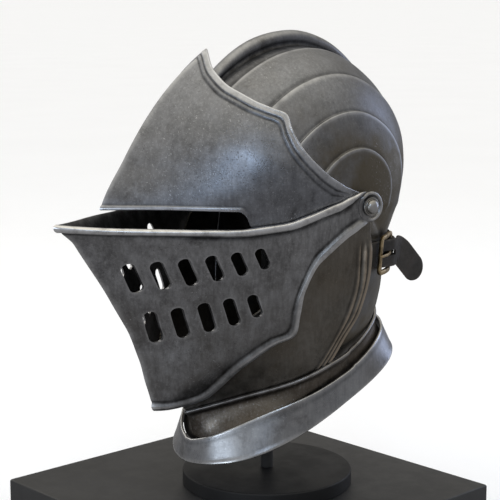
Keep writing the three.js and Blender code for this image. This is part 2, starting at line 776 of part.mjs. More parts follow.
const thicken = (line) =>
  line.map(([s, h], i) => {
    const a = line[Math.max(0, i - 1)];
    const b = line[Math.min(line.length - 1, i + 1)];
    const length = Math.hypot(b[0] - a[0], b[1] - a[1]);
    return [s - (strapThickness * (b[1] - a[1])) / length, h + (strapThickness * (b[0] - a[0])) / length];
  });
const frontWhole = [...frontLine, ...tailLine];
const frontOutline = [...frontWhole, ...thicken(frontWhole).reverse()];
let frontStrap = prism(frontOutline, levels, frontPoint);
frontStrap = frontStrap.subtract(prism([[-21, 0.5], [-3.4, 0.5], [-3.4, 14], [-21, 14]], [-2.1, 2.1]));
keep("strap_front", frontStrap, paint("strap_front_leather", 0x2e2824, 0, 0.72));

// Buckle frame of four bars, and its tongue
const frontBarS = -26;
const frontBarH = 7.2;
const sideBar = [
  [frontBarS, frontBarH - 1.6],
  [0, barHeight - 1.6],
  [0, barHeight + 1.6],
  [frontBarS, frontBarH + 1.6],
];
const inside = halfStrap + 0.9;
const outside = inside + 4.2;
const barAt = (s, h) => prism(circle(s, h, barRadius, 0, 315, 7), [-outside, outside]);
const frame = barAt(0, barHeight)
  .add(barAt(frontBarS, frontBarH))
  .add(prism(sideBar, [inside, outside]))
  .add(prism(sideBar, [-outside, -inside]));
keep("buckle_frame", frame, paint("buckle_brass", 0x6b5a3c, 1, 0.5));

const tongueOutline = [
  [-3.6, barHeight - 0.6],
  [frontBarS + 1.2, frontBarH + barRadius + 0.3],
  [frontBarS - 3.2, frontBarH + barRadius + 0.3],
  [frontBarS - 3.6, frontBarH + barRadius + 1],
  [frontBarS - 3.2, frontBarH + barRadius + 2.2],
  [frontBarS + 1.2, frontBarH + barRadius + 2.4],
  [-2.6, barHeight + 2.8],
];
const tongue = prism(circle(0, barHeight, barRadius + 1.9, 0, 330, 11), [-1.5, 1.5])
  .add(prism(tongueOutline, [-1.5, 1.5]))
  .subtract(prism(circle(0, barHeight, barRadius + 0.35, 0, 315, 7), [-3, 3]));
keep("buckle_tongue", tongue, paint("tongue_brass", 0x75643f, 1, 0.48));

// Stand: post under the crown, disc and a square plinth, a little turned from the helmet
const postTop = 112.6;
const discTop = -pivotZ + plinthHeight + discHeight;
const post = turned(
  [
    [0, discTop + seat],
    [postRadius, discTop + seat],
    [postRadius, postTop - 5],
    [postRadius * 0.8, postTop - 2],
    [postRadius * 0.4, postTop - 0.4],
    [0, postTop],
  ],
  16
);
post.rotateX(Math.PI / 2);
post.translate(0, postY, 0);
keep("stand_post", solidOf(post), paint("stand_post_black", 0x26272a, 0.2, 0.6));

const disc = turned(
  [
    [0, discTop - discHeight + seat],
    [discRadius, discTop - discHeight + seat],
    [discRadius, discTop - 1.5],
    [discRadius - 1.5, discTop],
    [0, discTop],
  ],
  32
);
disc.rotateX(Math.PI / 2);
disc.translate(0, postY, 0);
keep("stand_disc", solidOf(disc), paint("stand_disc_black", 0x26272a, 0.1, 0.65));

const bevel = 2;
const block = new THREE.Shape();
const flat = plinthSide / 2 - bevel;
block.moveTo(-flat, -flat);
block.lineTo(flat, -flat);
block.lineTo(flat, flat);
block.lineTo(-flat, flat);
block.closePath();
const plinth = new THREE.ExtrudeGeometry(block, {
  depth: plinthHeight - 2 * bevel,
  bevelEnabled: true,
  bevelThickness: bevel,
  bevelSize: bevel,
  bevelSegments: 1,
});
plinth.rotateZ(radians(plinthTurn));
plinth.translate(plinthX, plinthY - pivotY, bevel - pivotZ);
keep("stand_plinth", solidOf(plinth), paint("stand_plinth_black", 0x1f2023, 0.1, 0.6));

export default group;
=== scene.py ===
import json
import math

import bmesh
import bpy
import numpy as np
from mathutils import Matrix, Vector


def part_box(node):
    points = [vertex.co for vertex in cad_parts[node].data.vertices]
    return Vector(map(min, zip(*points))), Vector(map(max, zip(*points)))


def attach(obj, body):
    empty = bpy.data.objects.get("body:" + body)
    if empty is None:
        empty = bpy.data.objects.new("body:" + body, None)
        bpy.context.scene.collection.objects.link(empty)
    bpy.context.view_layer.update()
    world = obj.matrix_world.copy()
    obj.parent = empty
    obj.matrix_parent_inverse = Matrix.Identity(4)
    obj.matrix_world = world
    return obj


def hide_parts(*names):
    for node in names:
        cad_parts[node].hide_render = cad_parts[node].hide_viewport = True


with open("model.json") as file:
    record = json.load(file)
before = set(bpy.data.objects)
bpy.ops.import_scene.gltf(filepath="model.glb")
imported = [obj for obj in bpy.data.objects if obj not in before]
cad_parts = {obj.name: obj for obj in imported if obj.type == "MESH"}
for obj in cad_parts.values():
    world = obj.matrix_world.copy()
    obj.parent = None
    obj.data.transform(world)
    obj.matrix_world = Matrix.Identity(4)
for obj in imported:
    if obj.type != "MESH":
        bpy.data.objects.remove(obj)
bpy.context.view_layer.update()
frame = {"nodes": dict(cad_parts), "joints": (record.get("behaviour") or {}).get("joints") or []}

pivot = np.array(frame["joints"][0]["pos_m"]) * 1000  # middle of the bolts' axis, in mm
plate = 2.0  # steel thickness, in mm
bore = 4.1  # radius of the bolts' holes
earRadius = 11  # round ends of the plates under the ventail
print("frame loaded,", len(frame["nodes"]), "nodes")


# Numbers and tables

def smooth(low, high, place):
    t = np.clip((np.asarray(place, float) - low) / (high - low), 0, 1)
    return t * t * (3 - 2 * t)


# One column of a table, read as a smooth curve through its rows that never overshoots them
def tableValue(rows, column, place):
    keys = np.array([row[0] for row in rows], float)
    values = np.array([row[column] for row in rows], float)
    place = np.clip(np.asarray(place, float), keys[0], keys[-1])
    slope = np.diff(values) / np.diff(keys)
    before, after = slope[:-1], slope[1:]
    sameWay = before * after > 0
    tangent = np.empty_like(values)
    tangent[0], tangent[-1] = slope[0], slope[-1]
    tangent[1:-1] = np.where(sameWay, 2 * before * after / np.where(sameWay, before + after, 1), 0)
    i = np.clip(np.searchsorted(keys, place) - 1, 0, len(keys) - 2)
    width = keys[i + 1] - keys[i]
    t = (place - keys[i]) / width
    ends = values[i] * (1 + 2 * t) * (1 - t) ** 2 + values[i + 1] * t * t * (3 - 2 * t)
    return ends + width * (tangent[i] * t * (1 - t) ** 2 + tangent[i + 1] * t * t * (t - 1))


def bump(place, middle, width):
    return np.exp(-(((place - middle) / width) ** 2))


def unit(v):
    return v / np.maximum(np.linalg.norm(v, axis=-1, keepdims=True), 1e-9)


# Distance along a path at each of its points
def lengthAlong(path):
    steps = np.linalg.norm(np.diff(np.asarray(path, float), axis=0), axis=1)
    return np.concatenate([[0], np.cumsum(steps)])


# For each ray, the farthest distance between two bounds at which a test still holds
def farthest(holds, count, near, far, halvings):
    near, far = np.full(count, near), np.full(count, far)
    for _ in range(halvings):
        middle = (near + far) / 2
        inside = holds(middle)
        near, far = np.where(inside, middle, near), np.where(inside, far, middle)
    return near


# Points on an arc: its middle, its radius along each axis, first and last angle in degrees
def arc(middle, radii, first, last, count):
    turns = np.radians(np.linspace(first, last, count))
    return [(middle[0] + radii[0] * math.cos(t), middle[1] + radii[1] * math.sin(t)) for t in turns]


# Mesh makers: a shape is (points in mm about the pivot, faces, wear with painted highlight, grime with
# painted shade)

# Rounds the edge between the outside and the inside of a sheet
def edgeRoll(top, under, ahead, degrees):
    roll = np.radians(np.array(degrees))[None, :, None]
    middle, half = (top + under) / 2, (top - under) / 2
    return middle[:, None] + half[:, None] * np.sin(roll) + ahead[:, None] * np.cos(roll)


# Joins a row of closed loops into a skin, with its two ends shut or met
def loftShape(loops, wear=None, grimeAndShade=None, ring=False):
    count, around = loops.shape[:2]
    wear = np.zeros((count, around)) if wear is None else wear
    grimeAndShade = np.zeros((count, around)) if grimeAndShade is None else grimeAndShade
    index = np.arange(count * around).reshape(count, around)
    nextRow = np.roll(index, -1, axis=0) if ring else index[1:]
    thisRow = index if ring else index[:-1]
    quads = np.stack([thisRow, np.roll(thisRow, -1, 1), np.roll(nextRow, -1, 1), nextRow], -1).reshape(-1, 4)
    faces = quads.tolist()
    if not ring:
        faces += [index[0].tolist(), index[-1][::-1].tolist()]
    return loops.reshape(-1, 3), faces, wear.ravel(), grimeAndShade.ravel()


def joinShapes(shapes):
    points, faces, wear, grimeAndShade = [], [], [], []
    start = 0
    for shape in shapes:
        points.append(shape[0])
        faces += [[i + start for i in face] for face in shape[1]]
        wear.append(shape[2])
        grimeAndShade.append(shape[3])
        start += len(shape[0])
    return np.concatenate(points), faces, np.concatenate(wear), np.concatenate(grimeAndShade)


# A profile of (radius, height) turned about the bolts' axis, or about a post when upright
def turnShape(profile, steps, hand=1, upright=False, middle=(0, 0), wearHeight=None):
    profile = np.array(profile, float)
    turn = np.linspace(0, 2 * math.pi, steps, endpoint=False)[:, None]
    radius, height = profile[:, 0][None], profile[:, 1][None]
    across, up = radius * np.cos(turn), radius * np.sin(turn)
    height = height * np.ones_like(turn)
    if upright:
        loops = np.stack([across + middle[0], up + middle[1], height], -1)
    else:
        loops = np.stack([hand * height, hand * across + middle[0], up + middle[1]], -1)
    wear = None if wearHeight is None else smooth(wearHeight[0], wearHeight[1], height)
    return loftShape(loops, wear, ring=True)


def makeObject(name, shape):
    points, faces, wear, grimeAndShade = shape
    mesh = bpy.data.meshes.new(name)
    mesh.from_pydata(((points + pivot) * 0.001).tolist(), [], faces)
    # the first layer brightens the surface, as wear and as painted highlight; the second darkens it, as grime
    # and as painted shade
    for label, numbers in (("wear", wear), ("grimeAndShade", grimeAndShade)):
        mesh.attributes.new(label, "FLOAT", "POINT").data.foreach_set("value", numbers.astype(np.float32))
    built = bmesh.new()
    built.from_mesh(mesh)
    bmesh.ops.recalc_face_normals(built, faces=built.faces)
    built.to_mesh(mesh)
    built.free()
    made = bpy.data.objects.new(name, mesh)
    bpy.context.scene.collection.objects.link(made)
    return made


# Takes cutters out of a piece and leaves the piece a plain mesh
def cutAway(piece, cutter):
    modifier = piece.modifiers.new("cut", "BOOLEAN")
    modifier.operation = "DIFFERENCE"
    modifier.solver = "MANIFOLD"
    modifier.object = cutter
    whole = piece.data
    bpy.context.view_layer.update()
    cut = bpy.data.meshes.new_from_object(piece.evaluated_get(bpy.context.evaluated_depsgraph_get()))
    piece.modifiers.clear()
    piece.data = cut
    cut.name = whole.name
    bpy.data.meshes.remove(whole)
    bpy.data.objects.remove(cutter)


def addShape(piece, shape):
    extra = makeObject("extra", shape)
    built = bmesh.new()
    built.from_mesh(piece.data)
    built.from_mesh(extra.data)
    built.to_mesh(piece.data)
    built.free()
    bpy.data.objects.remove(extra)


def dress(piece, node, body, material, crease=38):
    built = bmesh.new()
    built.from_mesh(piece.data)
    for face in built.faces:
        face.smooth = True
    for edge in built.edges:
        edge.smooth = edge.calc_face_angle(0) < math.radians(crease)
    built.to_mesh(piece.data)
    built.free()
    piece.data.materials.clear()
    piece.data.materials.append(material)
    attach(piece, body)
    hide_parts(node)
    print(node, len(piece.data.polygons), "faces")


# Node helpers

class Nodes:
    def __init__(self, tree, space):
        self.tree = tree
        self.place = self.add("ShaderNodeTexCoord").outputs[space]

    def add(self, kind, **settings):
        made = self.tree.nodes.new(kind)
        for key, setting in settings.items():
            setattr(made, key, setting)
        return made

    def put(self, socket, given):
        if isinstance(given, bpy.types.NodeSocket):
            self.tree.links.new(given, socket)
        elif isinstance(given, (tuple, list)) and len(given) == 3 and socket.type == "RGBA":
            socket.default_value = (*given, 1)
        else:
            socket.default_value = given

    def noise(self, scale, detail=5, rough=0.6, place=None, warp=0):
        made = self.add("ShaderNodeTexNoise")
        self.put(made.inputs["Vector"], place or self.place)
        for key, number in (("Scale", scale), ("Detail", detail), ("Roughness", rough), ("Distortion", warp)):
            made.inputs[key].default_value = number
        return made.outputs["Fac"]

    def stretched(self, turn, scale):
        made = self.add("ShaderNodeMapping")
        self.put(made.inputs["Vector"], self.place)
        made.inputs["Rotation"].default_value = turn
        made.inputs["Scale"].default_value = scale
        return made.outputs["Vector"]

    def cells(self, scale):
        made = self.add("ShaderNodeTexVoronoi", feature="DISTANCE_TO_EDGE")
        self.put(made.inputs["Vector"], self.place)
        made.inputs["Scale"].default_value = scale
        return made.outputs["Distance"]

    def span(self, given, low, high, toLow=0.0, toHigh=1.0):
        made = self.add("ShaderNodeMapRange", interpolation_type="SMOOTHSTEP")
        for k, number in enumerate((given, low, high, toLow, toHigh)):
            self.put(made.inputs[k], number)
        return made.outputs["Result"]

    def maths(self, operation, a, b=0.0, clamp=False):
        made = self.add("ShaderNodeMath", operation=operation, use_clamp=clamp)
        self.put(made.inputs[0], a)
        self.put(made.inputs[1], b)
        return made.outputs[0]

    def times(self, a, b, clamp=False):
        return self.maths("MULTIPLY", a, b, clamp)

    def plus(self, a, b):
        return self.maths("ADD", a, b)

    def mix(self, share, a, b):
        made = self.add("ShaderNodeMix", data_type="RGBA")
        for k, given in ((0, share), (6, a), (7, b)):
            self.put(made.inputs[k], given)
        return made.outputs[2]

    def layer(self, label):
        return self.add("ShaderNodeAttribute", attribute_name=label).outputs["Fac"]

    def axis(self, label):
        made = self.add("ShaderNodeSeparateXYZ")
        self.put(made.inputs[0], self.place)
        return made.outputs[label]

    def relief(self, height, strength, distance, under=None):
        made = self.add("ShaderNodeBump")
        made.inputs["Strength"].default_value = strength
        made.inputs["Distance"].default_value = distance
        self.put(made.inputs["Height"], height)
        if under is not None:
            self.put(made.inputs["Normal"], under)
        return made.outputs["Normal"]


class Finish(Nodes):
    def __init__(self, name):
        self.material = bpy.data.materials.new(name)
        self.material.use_nodes = True
        super().__init__(self.material.node_tree, "Object")
        self.shader = self.tree.nodes["Principled BSDF"]

    def shade(self, **given):
        names = {"colour": "Base Color", "rough": "Roughness", "normal": "Normal"}
        for key, value in given.items():
            self.put(self.shader.inputs[names[key]], value)
        return self.material


steelLook = {
    "dark": (0.152, 0.161, 0.183), "light": (0.248, 0.259, 0.29), "bright": (0.57, 0.585, 0.625),
    "brown": (0.13, 0.105, 0.078), "pit": (0.03, 0.027, 0.025), "sootAndShade": (0.012, 0.011, 0.01),
    "tarnish": 0.7, "tarnishTop": 0.3, "tarnishFoot": 0.14, "wear": 0.8,
    "roughLow": 0.27, "roughHigh": 0.46, "hammer": 0.1, "sparkle": 0.22,
}


# Burnished plate: clouded grey, bright worn edges with painted highlights on crests, black grime with painted
# shade in grooves and inside, brown low down, pits and scratches
def burnishedSteel(name, pieceLook):
    look = {**steelLook, **pieceLook}
    f = Finish(name)
    cloud = f.noise(13, 6, 0.6, warp=0.4)
    mottle = f.noise(75, 9, 0.68)
    grain = f.noise(520, 5, 0.7)
    streak = f.noise(1.0, 6, 0.65, place=f.stretched((0.1, 0.05, 0.0), (420, 420, 26)))
    tone = f.plus(f.plus(f.times(cloud, 0.25), f.times(mottle, 0.45)), f.times(streak, 0.3))
    colour = f.mix(f.span(tone, 0.36, 0.64), look["dark"], look["light"])
    colour = f.mix(f.times(f.span(grain, 0.48, 0.78), 0.24), colour, look["bright"])
    smudge = f.span(f.noise(24, 8, 0.72, warp=0.3), 0.54, 0.7, 0.0, 0.5)
    colour = f.mix(smudge, colour, look["sootAndShade"])
    # brown tarnish gathers towards the neck and the nape
    low = f.span(f.axis("Z"), look["tarnishTop"], look["tarnishFoot"])
    patch = f.span(f.noise(11, 5, 0.6), 0.30, 0.72)
    tarnish = f.times(f.times(f.plus(f.times(low, 0.8), 0.2), patch), look["tarnish"], clamp=True)
    colour = f.mix(tarnish, colour, look["brown"])
    # bright scuffs in two directions
    scuffs = None
    for turn, stretch in (((0.5, 0.3, 0.9), (30, 1100, 520)), ((1.1, 0.8, 0.2), (40, 700, 1300))):
        line = f.span(f.noise(1.0, 3, 0.5, place=f.stretched(turn, stretch)), 0.66, 0.72)
        scuffs = line if scuffs is None else f.maths("MAXIMUM", scuffs, line)
    scuffs = f.times(scuffs, f.span(f.noise(22, 3, 0.5), 0.5, 0.64))
    colour = f.mix(f.times(scuffs, 0.5), colour, look["bright"])
    # small pits, most of them in patches
    pits = f.span(f.noise(900, 2, 0.5), 0.62, 0.70)
    pits = f.times(pits, f.span(f.noise(18, 4, 0.6), 0.46, 0.62))
    colour = f.mix(f.times(pits, 0.5), colour, look["pit"])
    # painted glints: small bright specks in patches
    sparkle = f.span(f.noise(760, 3, 0.6), 0.64, 0.72)
    sparkle = f.times(sparkle, f.span(f.noise(16, 5, 0.65), 0.53, 0.66))
    colour = f.mix(f.times(sparkle, look["sparkle"]), colour, look["bright"])
    # bright where the first layer says: worn edges, and painted highlights on crests and ridges
    brightened = f.times(f.layer("wear"), f.span(mottle, 0.28, 0.58, 0.35, 1.0), clamp=True)
    colour = f.mix(f.times(brightened, look["wear"]), colour, look["bright"])
    # near black where the second layer says: grime, and painted shade in grooves, under steps and on the
    # inside
    sootAndShade = f.times(f.layer("grimeAndShade"), f.span(mottle, 0.25, 0.7, 1.0, 0.55), clamp=True)
    colour = f.mix(sootAndShade, colour, look["sootAndShade"])
    rough = f.plus(f.times(mottle, 0.6), f.times(cloud, 0.4))
    rough = f.span(rough, 0.34, 0.66, look["roughLow"], look["roughHigh"])
    rough = f.plus(f.plus(rough, f.times(tarnish, 0.14)), f.times(sootAndShade, 0.25))
    rough = f.maths("SUBTRACT", rough, f.times(brightened, 0.08), clamp=True)
    normal = f.relief(f.noise(26, 3, 0.5), look["hammer"], 0.0016)
    fine = f.plus(f.times(mottle, 0.6), f.times(grain, 0.35))
    fine = f.maths("SUBTRACT", fine, f.times(pits, 0.7))
    normal = f.relief(fine, 0.22, 0.0006, normal)
    f.shader.inputs["Metallic"].default_value = 1.0
    return f.shade(colour=colour, rough=rough, normal=normal)


# Arched plates, drawn as in the frame: an angle about the bolts and a share of the reach to the medial line

def archAcross(rows, side, angle, share):
    power, root = tableValue(rows, 2, angle), tableValue(rows, 3, angle)
    return side * np.maximum(0, 1 - share ** power) ** root


def insideArch(rows, side, angle, x, distance):
    share = distance / tableValue(rows, 1, angle)
    return (share < 1) & (x < archAcross(rows, side, angle, share))


def archPoints(piece, angle, share, turn=0.0):
    reach = share * tableValue(piece["rows"], 1, angle)
    across = archAcross(piece["rows"], piece["side"] + turn, angle, share)
    t = np.radians(angle)
    spread = 1 + turn / 120
    return np.stack([across, -reach * spread * np.cos(t), reach * spread * np.sin(t)], -1)


def archNormals(piece, angle, share, turn):
    alongStep, acrossStep = 0.25, 0.002
    at = lambda a, s: archPoints(piece, a, s, turn)
    along = at(angle + alongStep, share) - at(angle - alongStep, share)
    across = at(angle, np.minimum(share + acrossStep, 1)) - at(angle, share - acrossStep)
    normal = unit(np.cross(along, across))
    normal *= np.sign(np.sum(normal * at(angle, share), -1, keepdims=True))
    normal[..., 0] = np.where(share >= 1, 0, normal[..., 0])
    return unit(normal)


# Half a plate between two edges, as closed loops across its thickness.
# detail gives the lift, the wear with painted highlight, the grime with painted shade, and the turn of each
# place
def archLoops(piece, shares, detail):
    shares = np.asarray(shares, float)[:, None]
    low = tableValue(piece["low"], 1, shares)
    high = tableValue(piece["high"], 1, shares)
    fine = low + (high - low) * np.linspace(0, 1, 121)[None]
    steps = np.linalg.norm(np.diff(archPoints(piece, fine, shares * np.ones_like(fine)), axis=1), axis=-1)
    travelled = np.concatenate([np.zeros_like(low), np.cumsum(steps, 1)], 1)
    length = travelled[:, -1:]
    bandLow, bandHigh = piece["bands"]
    squeeze = np.minimum(1, length / (bandLow + bandHigh + 6))
    inset = 0.9 * np.minimum(1, length / 12)
    lowCount, middleCount, highCount, innerCount = piece["counts"]
    run = lambda a, b, n: a + (b - a) * np.linspace(0, 1, n)[None]
    nearLow, nearHigh = bandLow * squeeze, length - bandHigh * squeeze
    outerPlace = np.concatenate([
        run(inset, nearLow, lowCount),
        run(nearLow, nearHigh, middleCount)[:, 1:-1],
        run(nearHigh, length - inset, highCount),
    ], 1)
    innerPlace = run(length - inset, inset, innerCount)
    angleAt = lambda place: np.stack([np.interp(p, t, a) for p, t, a in zip(place, travelled, fine)])

    def surface(place):
        angle = angleAt(place)
        share = shares * np.ones_like(angle)
        lift, wear, grimeAndShade, turn = detail(angle, share, place, length, squeeze)
        point = archPoints(piece, angle, share, turn)
        return point, archNormals(piece, angle, share, turn), lift, wear, grimeAndShade

    point, normal, lift, wear, grimeAndShade = surface(outerPlace)
    outer = point + normal * lift[..., None]
    backPoint, backNormal = surface(innerPlace)[:2]
    inner = backPoint - backNormal * plate
    # the inside stays on its own half of the medial plane
    inner[..., 0] = np.where(shares < 1, np.maximum(inner[..., 0], 0.05 + 4 * (1 - shares)), inner[..., 0])
    roll = (68, 40, 0, -40, -68)
    highRoll = edgeRoll(outer[:, -1], inner[:, 0], unit(point[:, -1] - point[:, -2]) * inset, roll)
    lowRoll = edgeRoll(outer[:, 0], inner[:, -1], unit(point[:, 0] - point[:, 1]) * inset, roll)[:, ::-1]
    loops = np.concatenate([outer, highRoll, inner, lowRoll], 1)
    rolled = np.ones(highRoll.shape[:2])
    hidden = np.zeros(inner.shape[:2])
    lowEdge, highEdge = piece["edges"]
    loopWearAndHighlight = np.concatenate([wear, rolled * highEdge, hidden, rolled * lowEdge], 1)
    # the inside of every plate is darkened as painted shade
    loopGrimeAndShade = np.concatenate([grimeAndShade, rolled * 0, hidden + 0.75, rolled * 0], 1)
    return loops, loopWearAndHighlight, loopGrimeAndShade


# Both halves of a plate, from one ear over the medial line to the other
def archShape(piece, shares, detail):
    loops, wear, grimeAndShade = archLoops(piece, shares, detail)
    flip = np.array([-1, 1, 1])
    both = lambda half, other: np.concatenate([half, other[:-1][::-1]])
    return loftShape(both(loops, loops * flip), both(wear, wear), both(grimeAndShade, grimeAndShade))


def addEars(piece, form):
    inner, outer = form["side"] - plate, form["side"]
    profile = [(bore, inner), (earRadius - 0.5, inner), (earRadius, inner + 0.5), (earRadius, outer - 0.6),
               (earRadius - 0.6, outer), (bore + 0.5, outer), (bore, outer - 0.5)]
    addShape(piece, joinShapes([turnShape(profile, 72, hand) for hand in (1, -1)]))


# Lift of a plate's two borders, read off their profiles of (distance from the edge, lift)
def borderLift(piece, place, length, squeeze):
    fromLow, fromHigh = place / squeeze, (length - place) / squeeze
    lowLift = tableValue(piece["lowProfile"], 1, fromLow)
    highLift = tableValue(piece["highProfile"], 1, fromHigh)
    return lowLift, highLift, fromLow, fromHigh


# Bright along the raised crests of a border as painted highlight, and at the very edges as wear
def edgeWearAndHighlight(lift, fromLow, fromHigh, top):
    raised = smooth(0.55 * top, top, lift)
    return np.clip(0.75 * raised + bump(fromLow, 0, 1.3) + bump(fromHigh, 0, 1.3), 0, 1)


# Neck: skull and bevor end on one sloping plane inside the upper lame
neck = {"slope": 23.5, "y": -7, "z": -131.3}


def neckBlock():
    slope = math.radians(neck["slope"])
    along = np.array([0, math.cos(slope), math.sin(slope)])
    down = np.array([0, math.sin(slope), -math.cos(slope)])
    middle = np.array([0, neck["y"], neck["z"]])
    corners = [middle + side * np.array([200, 0, 0]) + end * 300 * along + depth * 300 * down
               for depth in (0, 1) for end in (-1, 1) for side in (-1, 1)]
    faces = [[0, 1, 3, 2], [4, 6, 7, 5], [0, 4, 5, 1], [2, 3, 7, 6], [0, 2, 6, 4], [1, 5, 7, 3]]
    return makeObject("neckBlock", (np.array(corners), faces, np.zeros(8), np.zeros(8)))


# Skull: one raised plate with a beaded comb and three stepped flutes a side
skull = {
    "side": 91.6,
    # angle, reach, power and root of the arch
    "rows": [
        (18, 122, 2.2, 0.4545), (60, 117, 2.2, 0.4545), (90, 118, 2.2, 0.4545), (120, 113, 2.1, 0.476),
        (141, 105, 2.1, 0.476), (160, 94, 2.1, 0.476), (180, 83, 2.1, 0.476), (200, 79.5, 2.05, 0.488),
        (215, 84.5, 1.9, 0.53), (226, 96, 1.8, 0.56), (233, 114, 1.8, 0.57), (240, 129, 1.85, 0.56),
        (247, 139, 1.95, 0.52), (262, 157, 2.1, 0.476), (272, 178, 2.1, 0.54), (285, 197.5, 2.1, 0.7),
    ],
    "low": [(0, 18), (1, 18)],
    "high": [(0, 282), (1, 282)],
    "edges": (0, 0.9),
    "bands": (4, 4),
    "counts": (4, 170, 4, 70),
    # angle and reach of the comb's crest
    "comb": [
        (18, 122), (40, 121), (50, 124.5), (60, 127), (75, 129.8), (90, 130.5), (105, 127.5), (120, 121.5),
        (141, 112.5), (158, 102), (174, 89.5), (190, 80.6), (275, 80.6),
    ],
    # half width of the comb and the share of its height there: a waist under a round bead
    "combSection": [
        (0, 1), (1.3, 0.985), (2.6, 0.945), (3.8, 0.88), (4.8, 0.8), (5.55, 0.7), (6.0, 0.59), (6.1, 0.49),
        (5.85, 0.39), (5.4, 0.31), (5.1, 0.23), (5.15, 0.15), (5.6, 0.07), (6.6, 0.015), (7.8, 0), (9.6, 0),
    ],
    "fluteRise": 2.0,
    # share of the reach, and share of the flute's rise there
    "flutes": [
        (0.08, 0), (0.3, 0.62), (0.352, 0.96), (0.358, 1), (0.364, 0.9), (0.372, 0.1), (0.38, 0),
        (0.52, 0.5), (0.582, 0.96), (0.588, 1), (0.594, 0.9), (0.602, 0.1), (0.61, 0), (0.74, 0.5),
        (0.812, 0.96), (0.818, 1), (0.824, 0.9), (0.832, 0.1), (0.84, 0), (0.92, 0.4), (0.974, 0.96),
        (0.9765, 1), (0.979, 0.85), (0.982, 0.22), (0.985, 0.2), (1, 0.2),
    ],
    "fluteSteps": (0.364, 0.594, 0.824, 0.979),
    "look": {"brown": (0.135, 0.118, 0.09), "tarnish": 1.7, "tarnishTop": 0.36, "tarnishFoot": 0.31,
             "sparkle": 0.5},
}


def buildSkull():
    side = skull["side"]
    combX = np.array([row[0] for row in skull["combSection"]])
    combRise = np.array([row[1] for row in skull["combSection"]])
    combShare = (1 - (combX / side) ** 2.2) ** (1 / 2.2)
    turn = np.linspace(0, math.pi / 2, 92)
    broad = np.sin(turn) ** (2 / 2.2)
    steps = [s + np.linspace(-0.014, 0.018, 17) * (0.35 if s > 0.9 else 1) for s in skull["fluteSteps"]]
    shares = np.concatenate([broad, *steps])
    shares = np.unique(np.round(shares[(shares > 0.08) & (shares < combShare[-1] - 0.0006)], 4))
    shares = np.concatenate([[0.08], shares, combShare[::-1]])
    rises = np.concatenate([np.zeros(len(shares) - len(combX)), combRise[::-1]])[:, None]
    halfWidths = np.concatenate([np.full(len(shares) - len(combX), 20.0), combX[::-1]])[:, None]

    def detail(angle, share, place, length, squeeze):
        crest = np.maximum(0.1, tableValue(skull["comb"], 1, angle) - tableValue(skull["rows"], 1, angle))
        fade = np.clip((196 - angle) / 12, 0, 1)
        flute = tableValue(skull["flutes"], 1, share) * fade
        lift = rises * crest + flute * skull["fluteRise"]
        wear, grimeAndShade = np.zeros_like(lift), np.zeros_like(lift)
        # a painted highlight line along each flute's crest and a painted shadow just past each step
        for step in skull["fluteSteps"]:
            narrow = 0.35 if step > 0.9 else 1
            wear = wear + 0.7 * bump(share, step - 0.006 * narrow, 0.012 * narrow) * fade
            grimeAndShade = grimeAndShade + 0.6 * bump(share, step + 0.014 * narrow, 0.014 * narrow) * fade
        tall = smooth(1, 7, crest)
        # painted highlight along the comb's crest; painted shade in the waist under the bead and at its foot
        wear = wear + 0.4 * tall * smooth(0.6, 0.95, rises)
        waist = bump(halfWidths, 5.2, 0.8) * (rises < 0.35)
        grimeAndShade = grimeAndShade + 0.85 * tall * (waist + bump(halfWidths, 7.2, 1.7) * (rises < 0.1))
        return lift, np.clip(wear, 0, 1), np.clip(grimeAndShade, 0, 1), 0.0

    piece = makeObject("skullPlate", archShape(skull, shares, detail))
    cutAway(piece, neckBlock())
    addEars(piece, skull)
    dress(piece, "skull", "helmet", burnishedSteel("skullSteel", skull["look"]))


buildSkull()


# Bevor: chin and cheeks, its rear edge turned out and ribbed
bevor = {
    "side": 94.5,
    "rows": [
        (-134, 101, 1.8, 0.56), (-127, 119, 1.8, 0.57), (-120, 134, 1.85, 0.56), (-113, 144.5, 1.95, 0.52),
        (-98, 162.5, 2.1, 0.476), (-88, 184, 2.1, 0.54), (-75, 203, 2.1, 0.7), (-64, 199, 2.05, 0.95),
        (-55, 193, 2, 1), (-46, 188, 2, 1), (-38, 181, 2, 1), (-30, 176, 2, 1), (-5, 174, 2, 1),
    ],
    # share of the reach and angle of each edge
    "low": [
        (0.06, -150), (0.1, -116), (0.2, -102), (0.32, -98), (0.45, -92.5), (0.61, -86.5), (0.8, -82),
        (1, -80),
    ],
    "high": [(0.06, 20), (0.1, -16), (0.25, -33), (0.4, -41), (0.55, -45), (1, -46)],
    "edges": (0.9, 0),
    "bands": (18, 4),
    "counts": (40, 44, 6, 30),
    # distance from the edge and lift
    "lowProfile": [(0, 0.5), (2, 1.0), (4.2, 0.3), (5.4, -0.25), (7.4, 0.8), (9.4, 0.2), (10.4, -0.25),
                   (12.4, 0.65), (14.4, 0.1), (15.4, -0.15), (18, 0)],
    "rimTurn": 2.8,
    # the bright colour here is the warm painted highlight on the ribs
    "look": {"dark": (0.125, 0.122, 0.116), "light": (0.245, 0.238, 0.226), "bright": (0.46, 0.385, 0.31),
             "brown": (0.125, 0.107, 0.086), "tarnish": 1.0, "tarnishTop": 0.36, "wear": 0.9},
}


